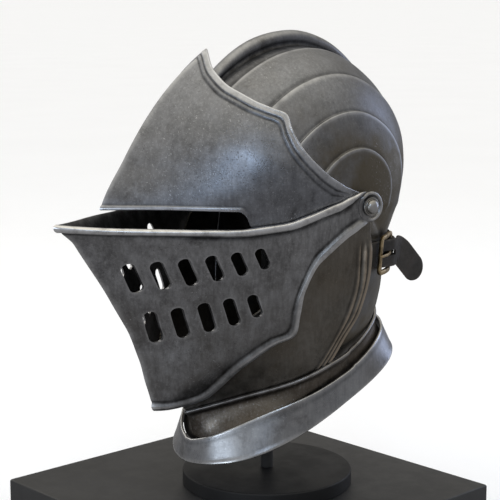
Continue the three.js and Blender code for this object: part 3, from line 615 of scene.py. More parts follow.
def buildBevor():
    def detail(angle, share, place, length, squeeze):
        fromLow = place / squeeze
        reach = share * tableValue(bevor["rows"], 1, angle)
        fade = smooth(22, 42, reach)
        turnFade = smooth(20, 36, reach) * (1 - smooth(80, 110, reach))
        turn = bevor["rimTurn"] * turnFade * (1 - smooth(0.1, 0.19, place / length))
        lift = tableValue(bevor["lowProfile"], 1, fromLow) * fade
        # raised ribs painted bright as warm highlights, the very edge as wear; the grooves between ribs are
        # darker
        wear = np.clip(smooth(0.1, 0.7, lift) * 0.9 + bump(fromLow, 0, 1.2) * fade, 0, 1)
        grooves = bump(fromLow, 5.4, 1.0) + bump(fromLow, 10.4, 1.0) + 0.7 * bump(fromLow, 15.4, 1.6)
        grimeAndShade = 0.7 * fade * grooves
        return lift, wear, np.clip(grimeAndShade, 0, 1), turn

    piece = makeObject("bevorPlate", archShape(bevor, np.linspace(0.06, 1, 120), detail))
    cutAway(piece, neckBlock())
    addEars(piece, bevor)
    dress(piece, "bevor", "helmet", burnishedSteel("bevorSteel", bevor["look"]))


buildBevor()


# Visor: medial ridge, stepped rear border and a stiffened sight edge
visor = {
    "side": 97.2,
    "rows": [
        (-15, 184, 2, 1), (-2.5, 181, 2.08, 1), (13.6, 162, 2.6, 1), (28, 151.5, 2.95, 1), (42, 146, 3, 1),
        (57, 142, 3, 1), (80, 139, 3, 1),
    ],
    "low": [
        (0.05, -30), (0.09, -8), (0.165, 1), (0.3, -7), (0.4, -9.5), (0.485, -9), (0.512, -7), (0.532, -2),
        (0.567, 0.4), (0.8, 0.8), (1, 0.4),
    ],
    "high": [
        (0.05, 75), (0.09, 56), (0.14, 43), (0.2, 37), (0.29, 35.5), (0.4, 37.5), (0.5, 41), (0.59, 46.5),
        (0.645, 50.5), (0.7, 48.6), (0.77, 47), (0.85, 46.8), (0.93, 49.4), (1, 55.5),
    ],
    "edges": (0.9, 0.9),
    "bands": (6, 13),
    "counts": (16, 56, 42, 34),
    "lowProfile": [(0, 0.5), (1.6, 0.7), (2.8, 0.6), (4.2, 0), (6, 0)],
    "highProfile": [(0, 1.2), (1.4, 1.4), (2.6, 1.2), (4.6, 1.15), (5.6, 1.05), (6.5, 0.4), (7.2, 0.3),
                    (8.6, 0.5), (9.6, 0.42), (10.6, 0.02), (11.4, -0.1), (13, 0)],
    "look": {"bright": (0.66, 0.685, 0.75), "roughLow": 0.25, "roughHigh": 0.44, "tarnish": 0.45},
}


def buildVisor():
    def detail(angle, share, place, length, squeeze):
        lowLift, highLift, fromLow, fromHigh = borderLift(visor, place, length, squeeze)
        reach = share * tableValue(visor["rows"], 1, angle)
        fade = smooth(17, 32, reach)
        sight = smooth(0.522, 0.567, share)
        lift = highLift * fade + lowLift * sight
        medial = visor["side"] * (1 - share ** 2.6)
        # painted highlights on the border's crests, the medial ridge and the sight's raised edge, wear at the
        # very edges; the border's grooves are darker
        wear = edgeWearAndHighlight(highLift, fromLow + 9 * (1 - sight), fromHigh, 1.4) * fade
        wear = wear + 0.6 * bump(medial, 0, 2.2) + 0.5 * sight * smooth(0.3, 0.65, lowLift)
        grimeAndShade = (0.9 * bump(fromHigh, 6.9, 0.8) + 0.8 * bump(fromHigh, 11.2, 1.1)) * fade
        grimeAndShade = grimeAndShade + 0.5 * sight * bump(fromLow, 4.6, 1)
        return lift, np.clip(wear, 0, 1), np.clip(grimeAndShade, 0, 1), 0.0

    piece = makeObject("visorPlate", archShape(visor, np.linspace(0.05, 1, 150), detail))
    addEars(piece, visor)
    dress(piece, "visor", "visor", burnishedSteel("visorSteel", visor["look"]))


buildVisor()


# Ventail: prow with a rolled upper rim, a beaded rear border and two rows of breaths a side
ventail = {
    "side": 100,
    "rows": [
        (-160, 209, 2, 1), (-52, 209, 2, 1), (-45.3, 198.5, 2, 1), (-38.7, 188, 2, 1), (-30.3, 182.5, 2, 1),
        (-21.5, 185, 2, 1), (-6.4, 203, 2, 1), (-1.6, 218, 2, 1), (10, 228, 2, 1), (60, 228, 2, 1),
    ],
    "low": [
        (0.045, -96), (0.062, -78), (0.087, -61), (0.149, -48), (0.213, -45), (0.29, -44.2), (0.38, -50),
        (0.46, -58), (0.53, -63), (0.585, -59), (0.65, -57), (0.74, -56), (0.85, -56.5), (0.93, -54),
        (1, -50.6),
    ],
    "high": [
        (0.045, 85), (0.085, 29), (0.14, 8.4), (0.26, -3.3), (0.365, -6.4), (0.48, -6.4), (0.62, -5),
        (0.76, -3.6), (0.9, -2.6), (1, -1.7),
    ],
    "edges": (0.9, 0.9),
    "bands": (11.5, 11.5),
    "counts": (38, 56, 38, 34),
    "lowProfile": [(0, 0.9), (1.4, 1.5), (3, 1.75), (4.8, 1.4), (6.2, 0.5), (7.2, -0.1), (8.4, -0.25),
                   (9.8, -0.05), (11.5, 0)],
    "highProfile": [(0, 1.2), (1.4, 2.1), (3.4, 2.55), (5.4, 2.0), (6.8, 0.8), (7.6, 0.0), (8.4, -0.25),
                    (9.6, -0.05), (11.5, 0)],
    "endRadius": 11.8,
    # middle of each breath seen from the side, its length, width and rake
    "breaths": [
        (-163, -49.5, 26, 8.2, 28), (-147, -47, 25, 8.2, 28), (-131, -44.5, 24, 8, 28),
        (-115, -41.5, 22.5, 7.8, 28), (-99.5, -38.5, 20.5, 7.5, 28), (-84.5, -35, 18, 7.2, 28),
        (-143, -90, 27, 8.2, 20), (-128, -86, 26, 8, 20), (-113, -81.5, 25, 7.8, 20),
        (-98.5, -77, 23, 7.6, 20), (-84.5, -72.5, 19, 7.2, 20),
    ],
    "look": {"dark": (0.15, 0.153, 0.164), "light": (0.35, 0.356, 0.377), "bright": (0.74, 0.75, 0.78),
             "brown": (0.1, 0.09, 0.077), "tarnish": 1.0, "tarnishTop": 0.25, "wear": 0.95, "sparkle": 0.4},
}


# Round-ended bars that cut the breaths, on both sides
def breathBars():
    bars = []
    for y, z, length, width, rake in ventail["breaths"]:
        lean = math.radians(rake)
        turn = np.linspace(0, 2 * math.pi, 40, endpoint=False) + math.pi / 80
        half = (length - width) / 2
        u = np.cos(turn) * width / 2
        v = np.sin(turn) * width / 2 + half * np.sign(np.sin(turn))
        slotY = y - u * math.cos(lean) - v * math.sin(lean)
        slotZ = z - u * math.sin(lean) + v * math.cos(lean)
        for near, far in ((6, 136), (-136, -6)):
            loops = np.stack([np.stack([np.full_like(slotY, x), slotY, slotZ], -1) for x in (near, far)])
            bars.append(loftShape(loops))
    return makeObject("breathBars", joinShapes(bars))


def wearBreaths(piece):
    mesh = piece.data
    points = np.empty(len(mesh.vertices) * 3, np.float32)
    mesh.vertices.foreach_get("co", points)
    points = points.reshape(-1, 3) * 1000 - pivot
    wear = np.empty(len(mesh.vertices), np.float32)
    mesh.attributes["wear"].data.foreach_get("value", wear)
    for y, z, length, width, rake in ventail["breaths"]:
        lean = math.radians(rake)
        dy, dz = points[:, 1] - y, points[:, 2] - z
        v = -dy * math.sin(lean) + dz * math.cos(lean)
        u = dy * math.cos(lean) + dz * math.sin(lean)
        half = (length - width) / 2
        rim = np.hypot(u, np.maximum(np.abs(v) - half, 0)) - width / 2
        wear = np.maximum(wear, 0.3 * bump(rim, 0, 0.5))
    mesh.attributes["wear"].data.foreach_set("value", wear.astype(np.float32))


def buildVentail():
    def detail(angle, share, place, length, squeeze):
        lowLift, highLift, fromLow, fromHigh = borderLift(ventail, place, length, squeeze)
        reach = share * tableValue(ventail["rows"], 1, angle)
        fade = smooth(10, 16, reach)
        lift = (lowLift + highLift) * fade
        medial = ventail["side"] * (1 - share ** 2)
        # painted highlights on the borders' crests and the medial ridge, wear at the very edges; the borders'
        # grooves are darker
        wear = edgeWearAndHighlight(np.maximum(lowLift, highLift), fromLow, fromHigh, 1.9) * fade
        wear = wear + 0.5 * bump(medial, 0, 2)
        grimeAndShade = (bump(fromLow, 8.2, 1.9) + bump(fromHigh, 8.4, 1.9)) * 0.9 * fade
        return lift, np.clip(wear, 0, 1), np.clip(grimeAndShade, 0, 1), 0.0

    piece = makeObject("ventailPlate", archShape(ventail, np.linspace(0.045, 1, 150), detail))
    cutAway(piece, breathBars())
    wearBreaths(piece)
    inner, outer = ventail["side"] - plate, ventail["side"]
    # round end of the arm, where the beads of both edges meet round the washer
    radius = ventail["endRadius"]
    end = [(bore, inner), (radius - 0.6, inner), (radius, inner + 0.6), (radius, outer + 0.4),
           (radius - 0.4, outer + 1.2), (radius - 1.1, outer + 1.7), (radius - 1.9, outer + 1.7),
           (radius - 2.7, outer + 1.1), (radius - 3.3, outer + 0.3), (radius - 3.7, outer),
           (bore + 0.5, outer), (bore, outer - 0.5)]
    ends = []
    for hand in (1, -1):
        points, faces, wear, grimeAndShade = turnShape(end, 96, hand, wearHeight=(outer + 1.0, outer + 2.2))
        arm = smooth(0.2, 0.75, unit(points[:, 1:]) @ np.array([-0.9, -0.43]))
        points[:, 0] -= hand * np.maximum(np.abs(points[:, 0]) - outer, 0) * arm
        ends.append((points, faces, wear * (1 - arm), grimeAndShade))
    addShape(piece, joinShapes(ends))
    dress(piece, "ventail", "ventail",
          burnishedSteel("ventailSteel", ventail["look"]))


buildVentail()


# Gorget: two whole rings round the neck, drawn through (y, z, slope, gap) round the neck
# and (y, z, slope, half width, front, rear, lift at the front)
upperLame = {
    "rings": [(-7, -124, 23.5, 1.1), (-7, -131, 23.5, 1.7), (-4, -151, 24.5, 65.2, 97.5, 84, 0)],
    "stations": (0, 0.26, 1),
    "profile": [(0, 0.3), (0.05, 0.7), (0.1, 0.75), (0.16, 0.3), (0.22, 0), (0.9, 0), (1, 0)],
    # darker colours than the other plates: painted shade from the bevor above it
    "look": {"dark": (0.06, 0.053, 0.047), "light": (0.15, 0.136, 0.122), "tarnish": 0.8},
}
lowerLame = {
    # share of the upper lame below its middle ring, how much that grows at the front, and the gap there
    "rings": [(0.42, 0.36, 3.6), (-2, -163.5, 25.5, 71.4, 111, 90.5, 5)],
    "stations": (0, 1),
    "profile": [(0, 0.25), (0.08, 0.3), (0.16, 0), (0.84, 0), (0.94, 0.3), (1, 0.25)],
    "look": {"dark": (0.27, 0.284, 0.313), "light": (0.41, 0.427, 0.462), "bright": (0.7, 0.705, 0.715),
             "tarnish": 0.35, "roughLow": 0.24, "roughHigh": 0.4},
}
ringForm = {"front": 0.9, "rear": 0.62, "keel": 2.6, "narrow": 0.72}


# How far the neck's outside lies from the middle of a sloping ring
def neckReach(ring, heading):
    def within(d):
        x, y, z = np.abs(d * heading[:, 0]), ring[0] + d * heading[:, 1], ring[1] + d * heading[:, 2]
        angle = np.degrees(np.arctan2(z, -y))
        behind = (angle < -92) | (angle > 90)
        overlap = 0.8 + 3.6 * smooth(-112, -92, angle)
        inSkull = insideArch(skull["rows"], skull["side"] + overlap, angle % 360, x, np.hypot(y, z))
        return np.where(behind, inSkull, insideArch(bevor["rows"], bevor["side"], angle, x, np.hypot(y, z)))

    return farthest(within, len(heading), 15.0, 140.0, 32)


def lameRing(ring, turn):
    ahead = np.maximum(0, -np.cos(turn))
    if len(ring) == 3:
        top, foot = [lameRing(under, turn) for under in upperLame["rings"][1:]]
        outward = unit(np.cross(np.roll(top, -1, 0) - np.roll(top, 1, 0), foot - top))
        outward = outward * np.sign(np.sum(outward * top * np.array([1, 1, 0]), -1, keepdims=True))
        share, gap = ring[0] + ring[1] * ahead ** 4, ring[2] * (1 + 0.5 * ahead ** 6)
        return top + (foot - top) * share[:, None] + outward * gap[:, None]
    slope = math.radians(ring[2])
    along = np.array([0, math.cos(slope), math.sin(slope)])
    centre = np.array([0, ring[0], ring[1]])
    if len(ring) == 4:
        sideways = np.stack([np.sin(turn) * ringForm["narrow"], 0 * turn, 0 * turn], -1)
        heading = unit(np.cos(turn)[:, None] * along + sideways)
        return centre + heading * (neckReach(ring, heading) + ring[3] + plate)[:, None]
    behind = np.cos(turn) > 0
    square = lambda t: np.sign(t) * np.abs(t) ** np.where(behind, ringForm["rear"], ringForm["front"])
    keel = np.where(behind, 0, ringForm["keel"] * np.maximum(0, 1 - np.abs(np.sin(turn)) / 0.4))
    across = np.stack([ring[3] * square(np.sin(turn)), 0 * turn, ring[6] * ahead ** 4], -1)
    reach = np.where(behind, ring[5], ring[4]) * square(np.cos(turn)) - keel
    return centre + across + along * reach[:, None]


def lameShape(piece):
    turn = np.linspace(0, 2 * math.pi, 240, endpoint=False) + math.pi / 240
    rings = np.stack([lameRing(ring, turn) for ring in piece["rings"]])
    places = np.linspace(0.03, 0.97, 26)
    column = lambda i, k: [(s, rings[n, i, k]) for n, s in enumerate(piece["stations"])]
    line = lambda i: np.stack([tableValue(column(i, k), 1, places) for k in range(3)], -1)
    grid = np.stack([line(i) for i in range(len(turn))])
    along = np.roll(grid, -1, 0) - np.roll(grid, 1, 0)
    down = np.gradient(grid, axis=1)
    normal = unit(np.cross(along, down))
    away = grid * np.array([1, 1, 0])
    normal *= np.sign(np.sum(normal * away, -1, keepdims=True))
    lift = tableValue(piece["profile"], 1, places)[None, :, None]
    outer, inner = grid + normal * lift, (grid - normal * plate)[:, ::-1]
    roll, bulge = (60, 25, -25, -60), 0.8
    foot = edgeRoll(outer[:, -1], inner[:, 0], unit(down[:, -1]) * bulge, roll)
    head = edgeRoll(outer[:, 0], inner[:, -1], unit(-down[:, 0]) * bulge, roll)[:, ::-1]
    loops = np.concatenate([outer, foot, inner, head], 1)
    # wear with painted highlight, and grime with painted shade, of the outside, the foot, the inside and the
    # head of each loop
    edge = np.clip(bump(places, 0, 0.06) + bump(places, 1, 0.06), 0, 1)
    back, rolled = np.ones(len(places)), np.ones(len(roll))
    wear = np.concatenate([edge, rolled * 0.9, back * 0, rolled * 0.5])
    # the inside is darkened as painted shade; the outside just below the head is darker
    grimeAndShade = np.concatenate([bump(places, 0.2, 0.07) * 0.4, rolled * 0, back * 0.75, rolled * 0])
    around = np.ones((len(turn), 1))
    return loftShape(loops, around * wear, around * grimeAndShade, ring=True)


for node, label, lame in (("gorget_upper", "upperLame", upperLame), ("gorget_lower", "lowerLame", lowerLame)):
    steel = burnishedSteel(label + "Steel", lame["look"])
    dress(makeObject(label, lameShape(lame)), node, "helmet", steel)


# Pivot bolts: burr inside, shank, washer and domed head
bolt = {
    "burr": 6.5, "shank": 3.7, "washer": 7.4, "head": 5.4, "rise": 5.8,
    "look": {"dark": (0.24, 0.238, 0.232), "light": (0.42, 0.415, 0.405), "tarnish": 0.3, "tarnishTop": 0.4,
             "wear": 0.6},
}


def boltProfile():
    inside, outside = skull["side"] - plate - 0.6, ventail["side"] + 0.3
    washerTop = ventail["side"] + 1.8
    top = ventail["side"] + bolt["rise"]
    burr, shank, washer, head = [bolt[name] for name in ("burr", "shank", "washer", "head")]
    foot = washerTop + 0.5
    dome = arc((0, foot), (head, top - foot), 0, 90, 14)[:-1]
    return [
        (0.01, 87.4), (burr - 0.6, 87.4), (burr, 88), (burr, inside), (shank, inside), (shank, outside),
        (washer, outside), (washer, washerTop - 0.7), (washer - 0.25, washerTop - 0.2),
        (washer - 0.8, washerTop), (head + 0.9, washerTop - 0.1), (head + 0.25, washerTop - 0.25),
        (head, washerTop), *dome, (0.01, top),
    ]


for node, hand in (("pivot_left", 1), ("pivot_right", -1)):
    shape = turnShape(boltProfile(), 64, hand, wearHeight=(ventail["side"] + 3, ventail["side"] + 6))
    dress(makeObject("bolt" + node[6:].title(), shape), node, "helmet",
          burnishedSteel(node + "Steel", bolt["look"]))


# Strap space: distance behind the buckle's rear bar, height over the skull
# and height over the strap's middle line
strap = {
    "width": 22, "thick": 2.0, "middleZ": -41, "axisY": 10, "buckleAngle": 69, "endAngle": 93.5,
    "tucked": 1.0, "onSkull": 1.7, "barHeight": 5.8, "barRadius": 1.8,
    "tailRoot": 5, "tailHeight": 10.7, "tailLength": 42, "tailDrop": 46, "tailSwing": 40, "softEdge": 0.9,
}


def napeReach(turn, z):
    def within(d):
        x, y = d * np.abs(np.sin(turn)), strap["axisY"] + d * np.cos(turn)
        angle = np.degrees(np.arctan2(z, -y)) % 360
        return insideArch(skull["rows"], skull["side"], angle, x, np.hypot(y, z))

    return farthest(within, len(turn), 10.0, 160.0, 40)


napeTurn = np.radians(np.linspace(-150, 150, 241))
napeHigh = napeReach(napeTurn, strap["middleZ"] + strap["width"] / 2)
napeLow = napeReach(napeTurn, strap["middleZ"] - strap["width"] / 2)
napePath = np.stack([napeHigh * np.sin(napeTurn), napeHigh * np.cos(napeTurn)], -1)
napeAlong = lengthAlong(napePath)
alongOf = lambda degrees: float(np.interp(math.radians(degrees), napeTurn, napeAlong))
buckleAlong = alongOf(strap["buckleAngle"])
rightEnd = buckleAlong - alongOf(-strap["endAngle"])
leftEnd = buckleAlong - alongOf(strap["endAngle"])


def strapPoint(s, h, z):
    turn = np.interp(buckleAlong - s, napeAlong, napeTurn)
    high, low = np.interp(turn, napeTurn, napeHigh), np.interp(turn, napeTurn, napeLow)
    crown = 0.8 * np.maximum(0, 1 - (2 * z / strap["width"]) ** 2) * smooth(26, 40, np.abs(s))
    reach = high + (low - high) * (strap["width"] / 2 - z) / strap["width"] + crown + h
    return np.stack([reach * np.sin(turn), strap["axisY"] + reach * np.cos(turn), strap["middleZ"] + z], -1)


beforeTail, tailStart, afterTail = strapPoint(strap["tailRoot"] + np.array([-0.6, 0, 0.6]),
                                              strap["tailHeight"], np.zeros(3))
tailAhead = unit(afterTail - beforeTail)
tailOut = np.array([tailAhead[1], -tailAhead[0], 0])
tailOut = tailOut * np.sign(tailOut @ tailStart)


# Past the buckle the free end swings out from the nape and hangs down
def frontPoint(s, h, z):
    s, h, z = np.broadcast_arrays(np.asarray(s, float), h, z)
    over = np.maximum(s - strap["tailRoot"], 0)

    def heading(t):
        bend = smooth(0, 14, t)
        swing, fall = math.radians(strap["tailSwing"]) * bend, math.radians(strap["tailDrop"]) * bend
        level = np.cos(swing)[..., None] * tailAhead + np.sin(swing)[..., None] * tailOut
        return level * np.cos(fall)[..., None] + np.array([0, 0, -1]) * np.sin(fall)[..., None]

    point = np.zeros(s.shape + (3,)) + tailStart
    steps = 12
    for k in range(steps):
        point = point + heading(over * (k + 0.5) / steps) * (over / steps)[..., None]
    ahead = heading(over)
    flat = unit(ahead * np.array([1, 1, 0]))
    face = np.stack([flat[..., 1], -flat[..., 0], 0 * s], -1)
    face = face * np.where(face @ tailOut < 0, -1, 1)[..., None]
    across = unit(np.cross(ahead, face))
    across = across * np.where(across[..., 2] < 0, -1, 1)[..., None]
    half = strap["width"] / 2
    past = np.clip((over - (strap["tailLength"] - half)) / half, 0, 1)
    narrow = np.sqrt(np.maximum(0.02, 1 - past ** 2))
    hanging = point + across * (z * narrow)[..., None] + face * (h - strap["tailHeight"])[..., None]
    return np.where((s <= strap["tailRoot"])[..., None], strapPoint(s, h, z), hanging)


# Section of a strap: (height, place across) in mm, round a band with soft edges
def bandSection(width, thick, soft):
    half, flat = thick / 2, width / 2 - soft
    across = np.linspace(-flat, flat, 15)
    edge = np.radians(np.linspace(80, -80, 7))
    right = np.stack([half * np.sin(edge), flat + soft * np.cos(edge)], -1)
    top = np.stack([np.full(15, half), across], -1)
    under = np.stack([np.full(15, -half), across[::-1]], -1)
    left = np.stack([-half * np.sin(edge), -flat - soft * np.cos(edge)], -1)
    return np.concatenate([top, right, under, left])


# A band along a path of (distance, height) in strap space; thin gives the length of its skived end
# and the share of the thickness left there
def bandShape(path, place, count, thin=None, smoothed=True):
    path = np.array(path, float)
    run = lengthAlong(path)
    u = np.linspace(0, run[-1], count)
    curve = lambda column: tableValue(list(zip(run, column)), 1, u)
    straight = lambda column: np.interp(u, run, column)
    s, h = [(curve if smoothed else straight)(column) for column in path.T]
    ahead = unit(np.stack([np.gradient(s), np.gradient(h)], -1))
    section = bandSection(strap["width"], strap["thick"], strap["softEdge"])
    taper = np.ones(count) if thin is None else np.interp(u, [run[-1] - thin[0], run[-1]], [1, thin[1]])
    up = section[:, 0][None] * taper[:, None]
    across = section[:, 1][None] + 0 * up
    loops = place(s[:, None] - ahead[:, 1:] * up, h[:, None] + ahead[:, :1] * up, across)
    brightened = bump(np.abs(across), strap["width"] / 2, 1.2)
    ends = np.maximum(bump(u, 0, 1.5), bump(u, run[-1], 1.5))[:, None] + 0 * up
    return loftShape(loops, np.clip(brightened + ends, 0, 1))


# A block in strap space, for the slots that the tongue goes through
def strapBlock(sLow, sHigh, hLow, hHigh, half):
    count = 9
    s = np.linspace(sLow, sHigh, count)
    corners = [(hLow, -half), (hHigh, -half), (hHigh, half), (hLow, half)]
    loops = np.stack([strapPoint(s, np.full(count, h), np.full(count, z)) for h, z in corners], 1)
    return makeObject("strapBlock", loftShape(loops))


# Worn leather: fine grain, creases across the band, paler rubbed edges
def wornLeather(name, look):
    f = Finish(name)
    cloud = f.noise(40, 6, 0.6)
    grain = f.cells(1500)
    colour = f.mix(f.span(cloud, 0.35, 0.68), look["dark"], look["light"])
    rub = f.times(f.layer("wear"), f.span(f.noise(260, 5, 0.6), 0.35, 0.65, 0.25, 1.0), clamp=True)
    colour = f.mix(f.times(rub, 0.7), colour, look["edge"])
    cracks = f.span(f.cells(420), 0.0, 0.06, 1.0, 0.0)
    cracks = f.times(cracks, f.span(f.noise(60, 4, 0.6), 0.45, 0.65))
    colour = f.mix(f.times(cracks, 0.5), colour, look["crack"])
    rough = f.span(f.noise(180, 6, 0.6), 0.3, 0.7, 0.6, 0.8)
    height = f.maths("SUBTRACT", f.span(grain, 0.0, 0.35), f.times(cracks, 0.8))
    return f.shade(colour=colour, rough=rough, normal=f.relief(height, 0.35, 0.0004))


leatherLook = {"dark": (0.009, 0.0075, 0.0065), "light": (0.022, 0.018, 0.015), "edge": (0.05, 0.039, 0.03),
               "crack": (0.004, 0.0035, 0.003)}


def buildStraps():
    thick, bar = strap["thick"], strap["barHeight"]
    # nape strap: from the right cheek round the back, under the rear bar and over it, skived down on itself
    path = []
    for s in np.linspace(rightEnd, 0.6, 90):
        t = smooth(rightEnd - 30, rightEnd - 12, s)
        path.append((s, strap["onSkull"] + (strap["tucked"] - strap["onSkull"]) * t + thick / 2))
    bend = bar - strap["onSkull"] - thick / 2
    path += arc((0, bar), (bend, bend), 268, 48, 26)
    path += [(4.2, 7.3), (6.2, 5.7), (8.4, 4.75), (11, 4.6), (14, 4.5)]
    nape = makeObject("napeStrap", bandShape(path, strapPoint, 330, thin=(9, 0.55), smoothed=False))
    cutAway(nape, strapBlock(-5.5, 4.3, -1, 12, 2.2))
    dress(nape, "strap_nape", "helmet", wornLeather("napeLeather", leatherLook))
    # front strap: from the left cheek under the front bar, over the rear bar, to the free tail
    lower = [(leftEnd, strap["tucked"]), (leftEnd + 6, strap["tucked"]), (-31, 1.5), (-25, 2.2), (-18, 4.2),
             (-11, 7.5), (-5, 10.2)]
    lower += [(s, strap["tailHeight"]) for s in (0, 5, 9, 18, 30, 40, 45, 46.85)]
    path = [(s, h + thick / 2) for s, h in lower]
    front = makeObject("frontStrap", bandShape(path, frontPoint, 260))
    cutAway(front, strapBlock(-21, -3.4, 0.5, 14, 2.1))
    dress(front, "strap_front", "helmet", wornLeather("frontLeather", leatherLook))


buildStraps()


# Buckle: a four-bar frame swept as one, and a tongue with its eye on the rear bar
buckle = {
    "length": 26, "frontHeight": 7.2, "halfInside": 11.9, "sideWidth": 4.2, "corner": 2.4,
    "sideHalf": 2.05, "halfDepth": 1.7, "tongueHalf": 1.5, "tonguePast": 3.4,
    "look": {"dark": (0.1, 0.072, 0.038), "light": (0.29, 0.213, 0.112), "bright": (0.6, 0.47, 0.29)},
}


def agedBrass(name, look):
    f = Finish(name)
    mottle = f.noise(220, 8, 0.65)
    cloud = f.noise(60, 5, 0.6)
    tone = f.plus(f.times(mottle, 0.5), f.times(cloud, 0.5))
    colour = f.mix(f.span(tone, 0.36, 0.64), look["dark"], look["light"])
    brightened = f.times(f.layer("wear"), f.span(mottle, 0.3, 0.6, 0.3, 1.0), clamp=True)
    colour = f.mix(f.times(brightened, 0.7), colour, look["bright"])
    rough = f.span(mottle, 0.3, 0.7, 0.34, 0.56)
    f.shader.inputs["Metallic"].default_value = 1.0
    return f.shade(colour=colour, rough=rough, normal=f.relief(mottle, 0.25, 0.0004))


def ovalSection(steps, power):
    turn = np.linspace(0, 2 * math.pi, steps, endpoint=False)
    curve = lambda t: np.sign(t) * np.abs(t) ** (2 / power)
    return curve(np.cos(turn)), curve(np.sin(turn))


def buildBuckle():
    bar, length = strap["barHeight"], buckle["length"]
    halfHeight = buckle["halfInside"] + buckle["sideWidth"] / 2
    corner = buckle["corner"]
    # middle line of the frame, with each corner rounded
    line = []
    for sEnd, zEnd, first in ((0, 1, 0), (-length, 1, 90), (-length, -1, 180), (0, -1, 270)):
        cs = sEnd + (corner if sEnd < 0 else -corner)
        cz = zEnd * (halfHeight - corner)
        line += arc((cs, cz), (corner, corner), first, first + 90, 7)
    line = np.array(line + line[:1])
    run = lengthAlong(line)
    u = np.linspace(0, run[-1], 160, endpoint=False)
    s, z = np.interp(u, run, line[:, 0]), np.interp(u, run, line[:, 1])
    ahead = unit(np.stack([np.roll(s, -1) - np.roll(s, 1), np.roll(z, -1) - np.roll(z, 1)], -1))
    alongBar = np.abs(ahead[:, 1])
    halfWidth = buckle["sideHalf"] + (strap["barRadius"] - buckle["sideHalf"]) * alongBar
    wide, tall = ovalSection(20, 3.2)
    height = bar + (buckle["frontHeight"] - bar) * (-s / length)
    offset = halfWidth[:, None] * wide[None]
    loops = strapPoint(s[:, None] + ahead[:, 1:] * offset, height[:, None] + buckle["halfDepth"] * tall[None],
                       z[:, None] - ahead[:, :1] * offset)
    wear = smooth(0.5, 0.95, tall)[None] * np.ones((len(u), 1))
    shape = loftShape(loops, wear, ring=True)
    material = agedBrass("buckleBrass", buckle["look"])
    dress(makeObject("buckleFrame", shape), "buckle_frame", "helmet", material)

    # tongue: eye, then a tapering bar that rests over the front bar
    eye = strap["barRadius"] + 1.1
    turn = np.linspace(0, 2 * math.pi, 48, endpoint=False)
    wide, tall = ovalSection(16, 3)
    radius = eye + 0.72 * tall[None]
    loops = strapPoint(radius * np.cos(turn)[:, None], bar + radius * np.sin(turn)[:, None],
                       buckle["tongueHalf"] * wide[None] * np.ones((48, 1)))
    brightened = smooth(0.4, 1, tall)[None]
    eyeShape = loftShape(loops, np.ones((len(loops), 1)) * brightened, ring=True)
    over = buckle["frontHeight"] + strap["barRadius"] + 1.1
    path = [(-2.3, bar + 2.0), (-6, bar + 2.5), (-12, bar + 3.4), (-18, over - 0.2), (-length, over),
            (-length - buckle["tonguePast"], over - 0.2)]
    run = lengthAlong(path)
    u = np.linspace(0, run[-1], 60)
    s, h = [tableValue(list(zip(run, column)), 1, u) for column in np.array(path).T]
    tip = np.sqrt(np.clip((run[-1] - u) / 1.4, 0.03, 1))
    halfWide = buckle["tongueHalf"] * (1 - 0.25 * u / run[-1]) * tip
    loops = strapPoint(s[:, None] + 0 * wide[None], h[:, None] + (0.85 * tip)[:, None] * tall[None],
                       halfWide[:, None] * wide[None])
    barShape = loftShape(loops, np.ones((len(loops), 1)) * brightened)
    tongue = makeObject("buckleTongue", joinShapes([eyeShape, barShape]))
    dress(tongue, "buckle_tongue", "helmet", agedBrass("tongueBrass", buckle["look"]))


buildBuckle()


# Stand: post, disc and plinth, matte charcoal
stand = {
    "look": {"dark": (0.0125, 0.013, 0.0145), "light": (0.021, 0.0215, 0.0235), "dust": (0.06, 0.06, 0.06)},
    "discLook": {"dark": (0.0075, 0.0078, 0.0087), "light": (0.0125, 0.0128, 0.014),
                 "dust": (0.035, 0.035, 0.035), "gloss": 0.22},
    "plinthSide": 281,
    "plinthTurn": 6,
    "plinthCorner": 1.6,
    "discCorner": 1.5,
}


def mattePaint(name, look, roughness):
    f = Finish(name)
    cloud = f.noise(9, 6, 0.6)
    grain = f.noise(900, 4, 0.6)
    colour = f.mix(f.span(cloud, 0.35, 0.65), look["dark"], look["light"])
    dust = f.times(f.span(f.noise(420, 6, 0.7), 0.56, 0.74), f.span(cloud, 0.4, 0.65, 0.1, 0.35))
    colour = f.mix(dust, colour, look["dust"])
    rough = f.span(f.noise(35, 6, 0.6), 0.3, 0.7, roughness - 0.06, roughness + 0.08)
    f.shader.inputs["Specular IOR Level"].default_value = look.get("gloss", 0.5)
    return f.shade(colour=colour, rough=rough, normal=f.relief(grain, 0.1, 0.0003))


# Middle of a node's box seen from above, its half width, foot and top, in mm about the pivot
def standBox(node):
    low, high = [np.array(corner) * 1000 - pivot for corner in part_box(node)]
    return (low + high)[:2] / 2, (high[0] - low[0]) / 2, low[2], high[2]


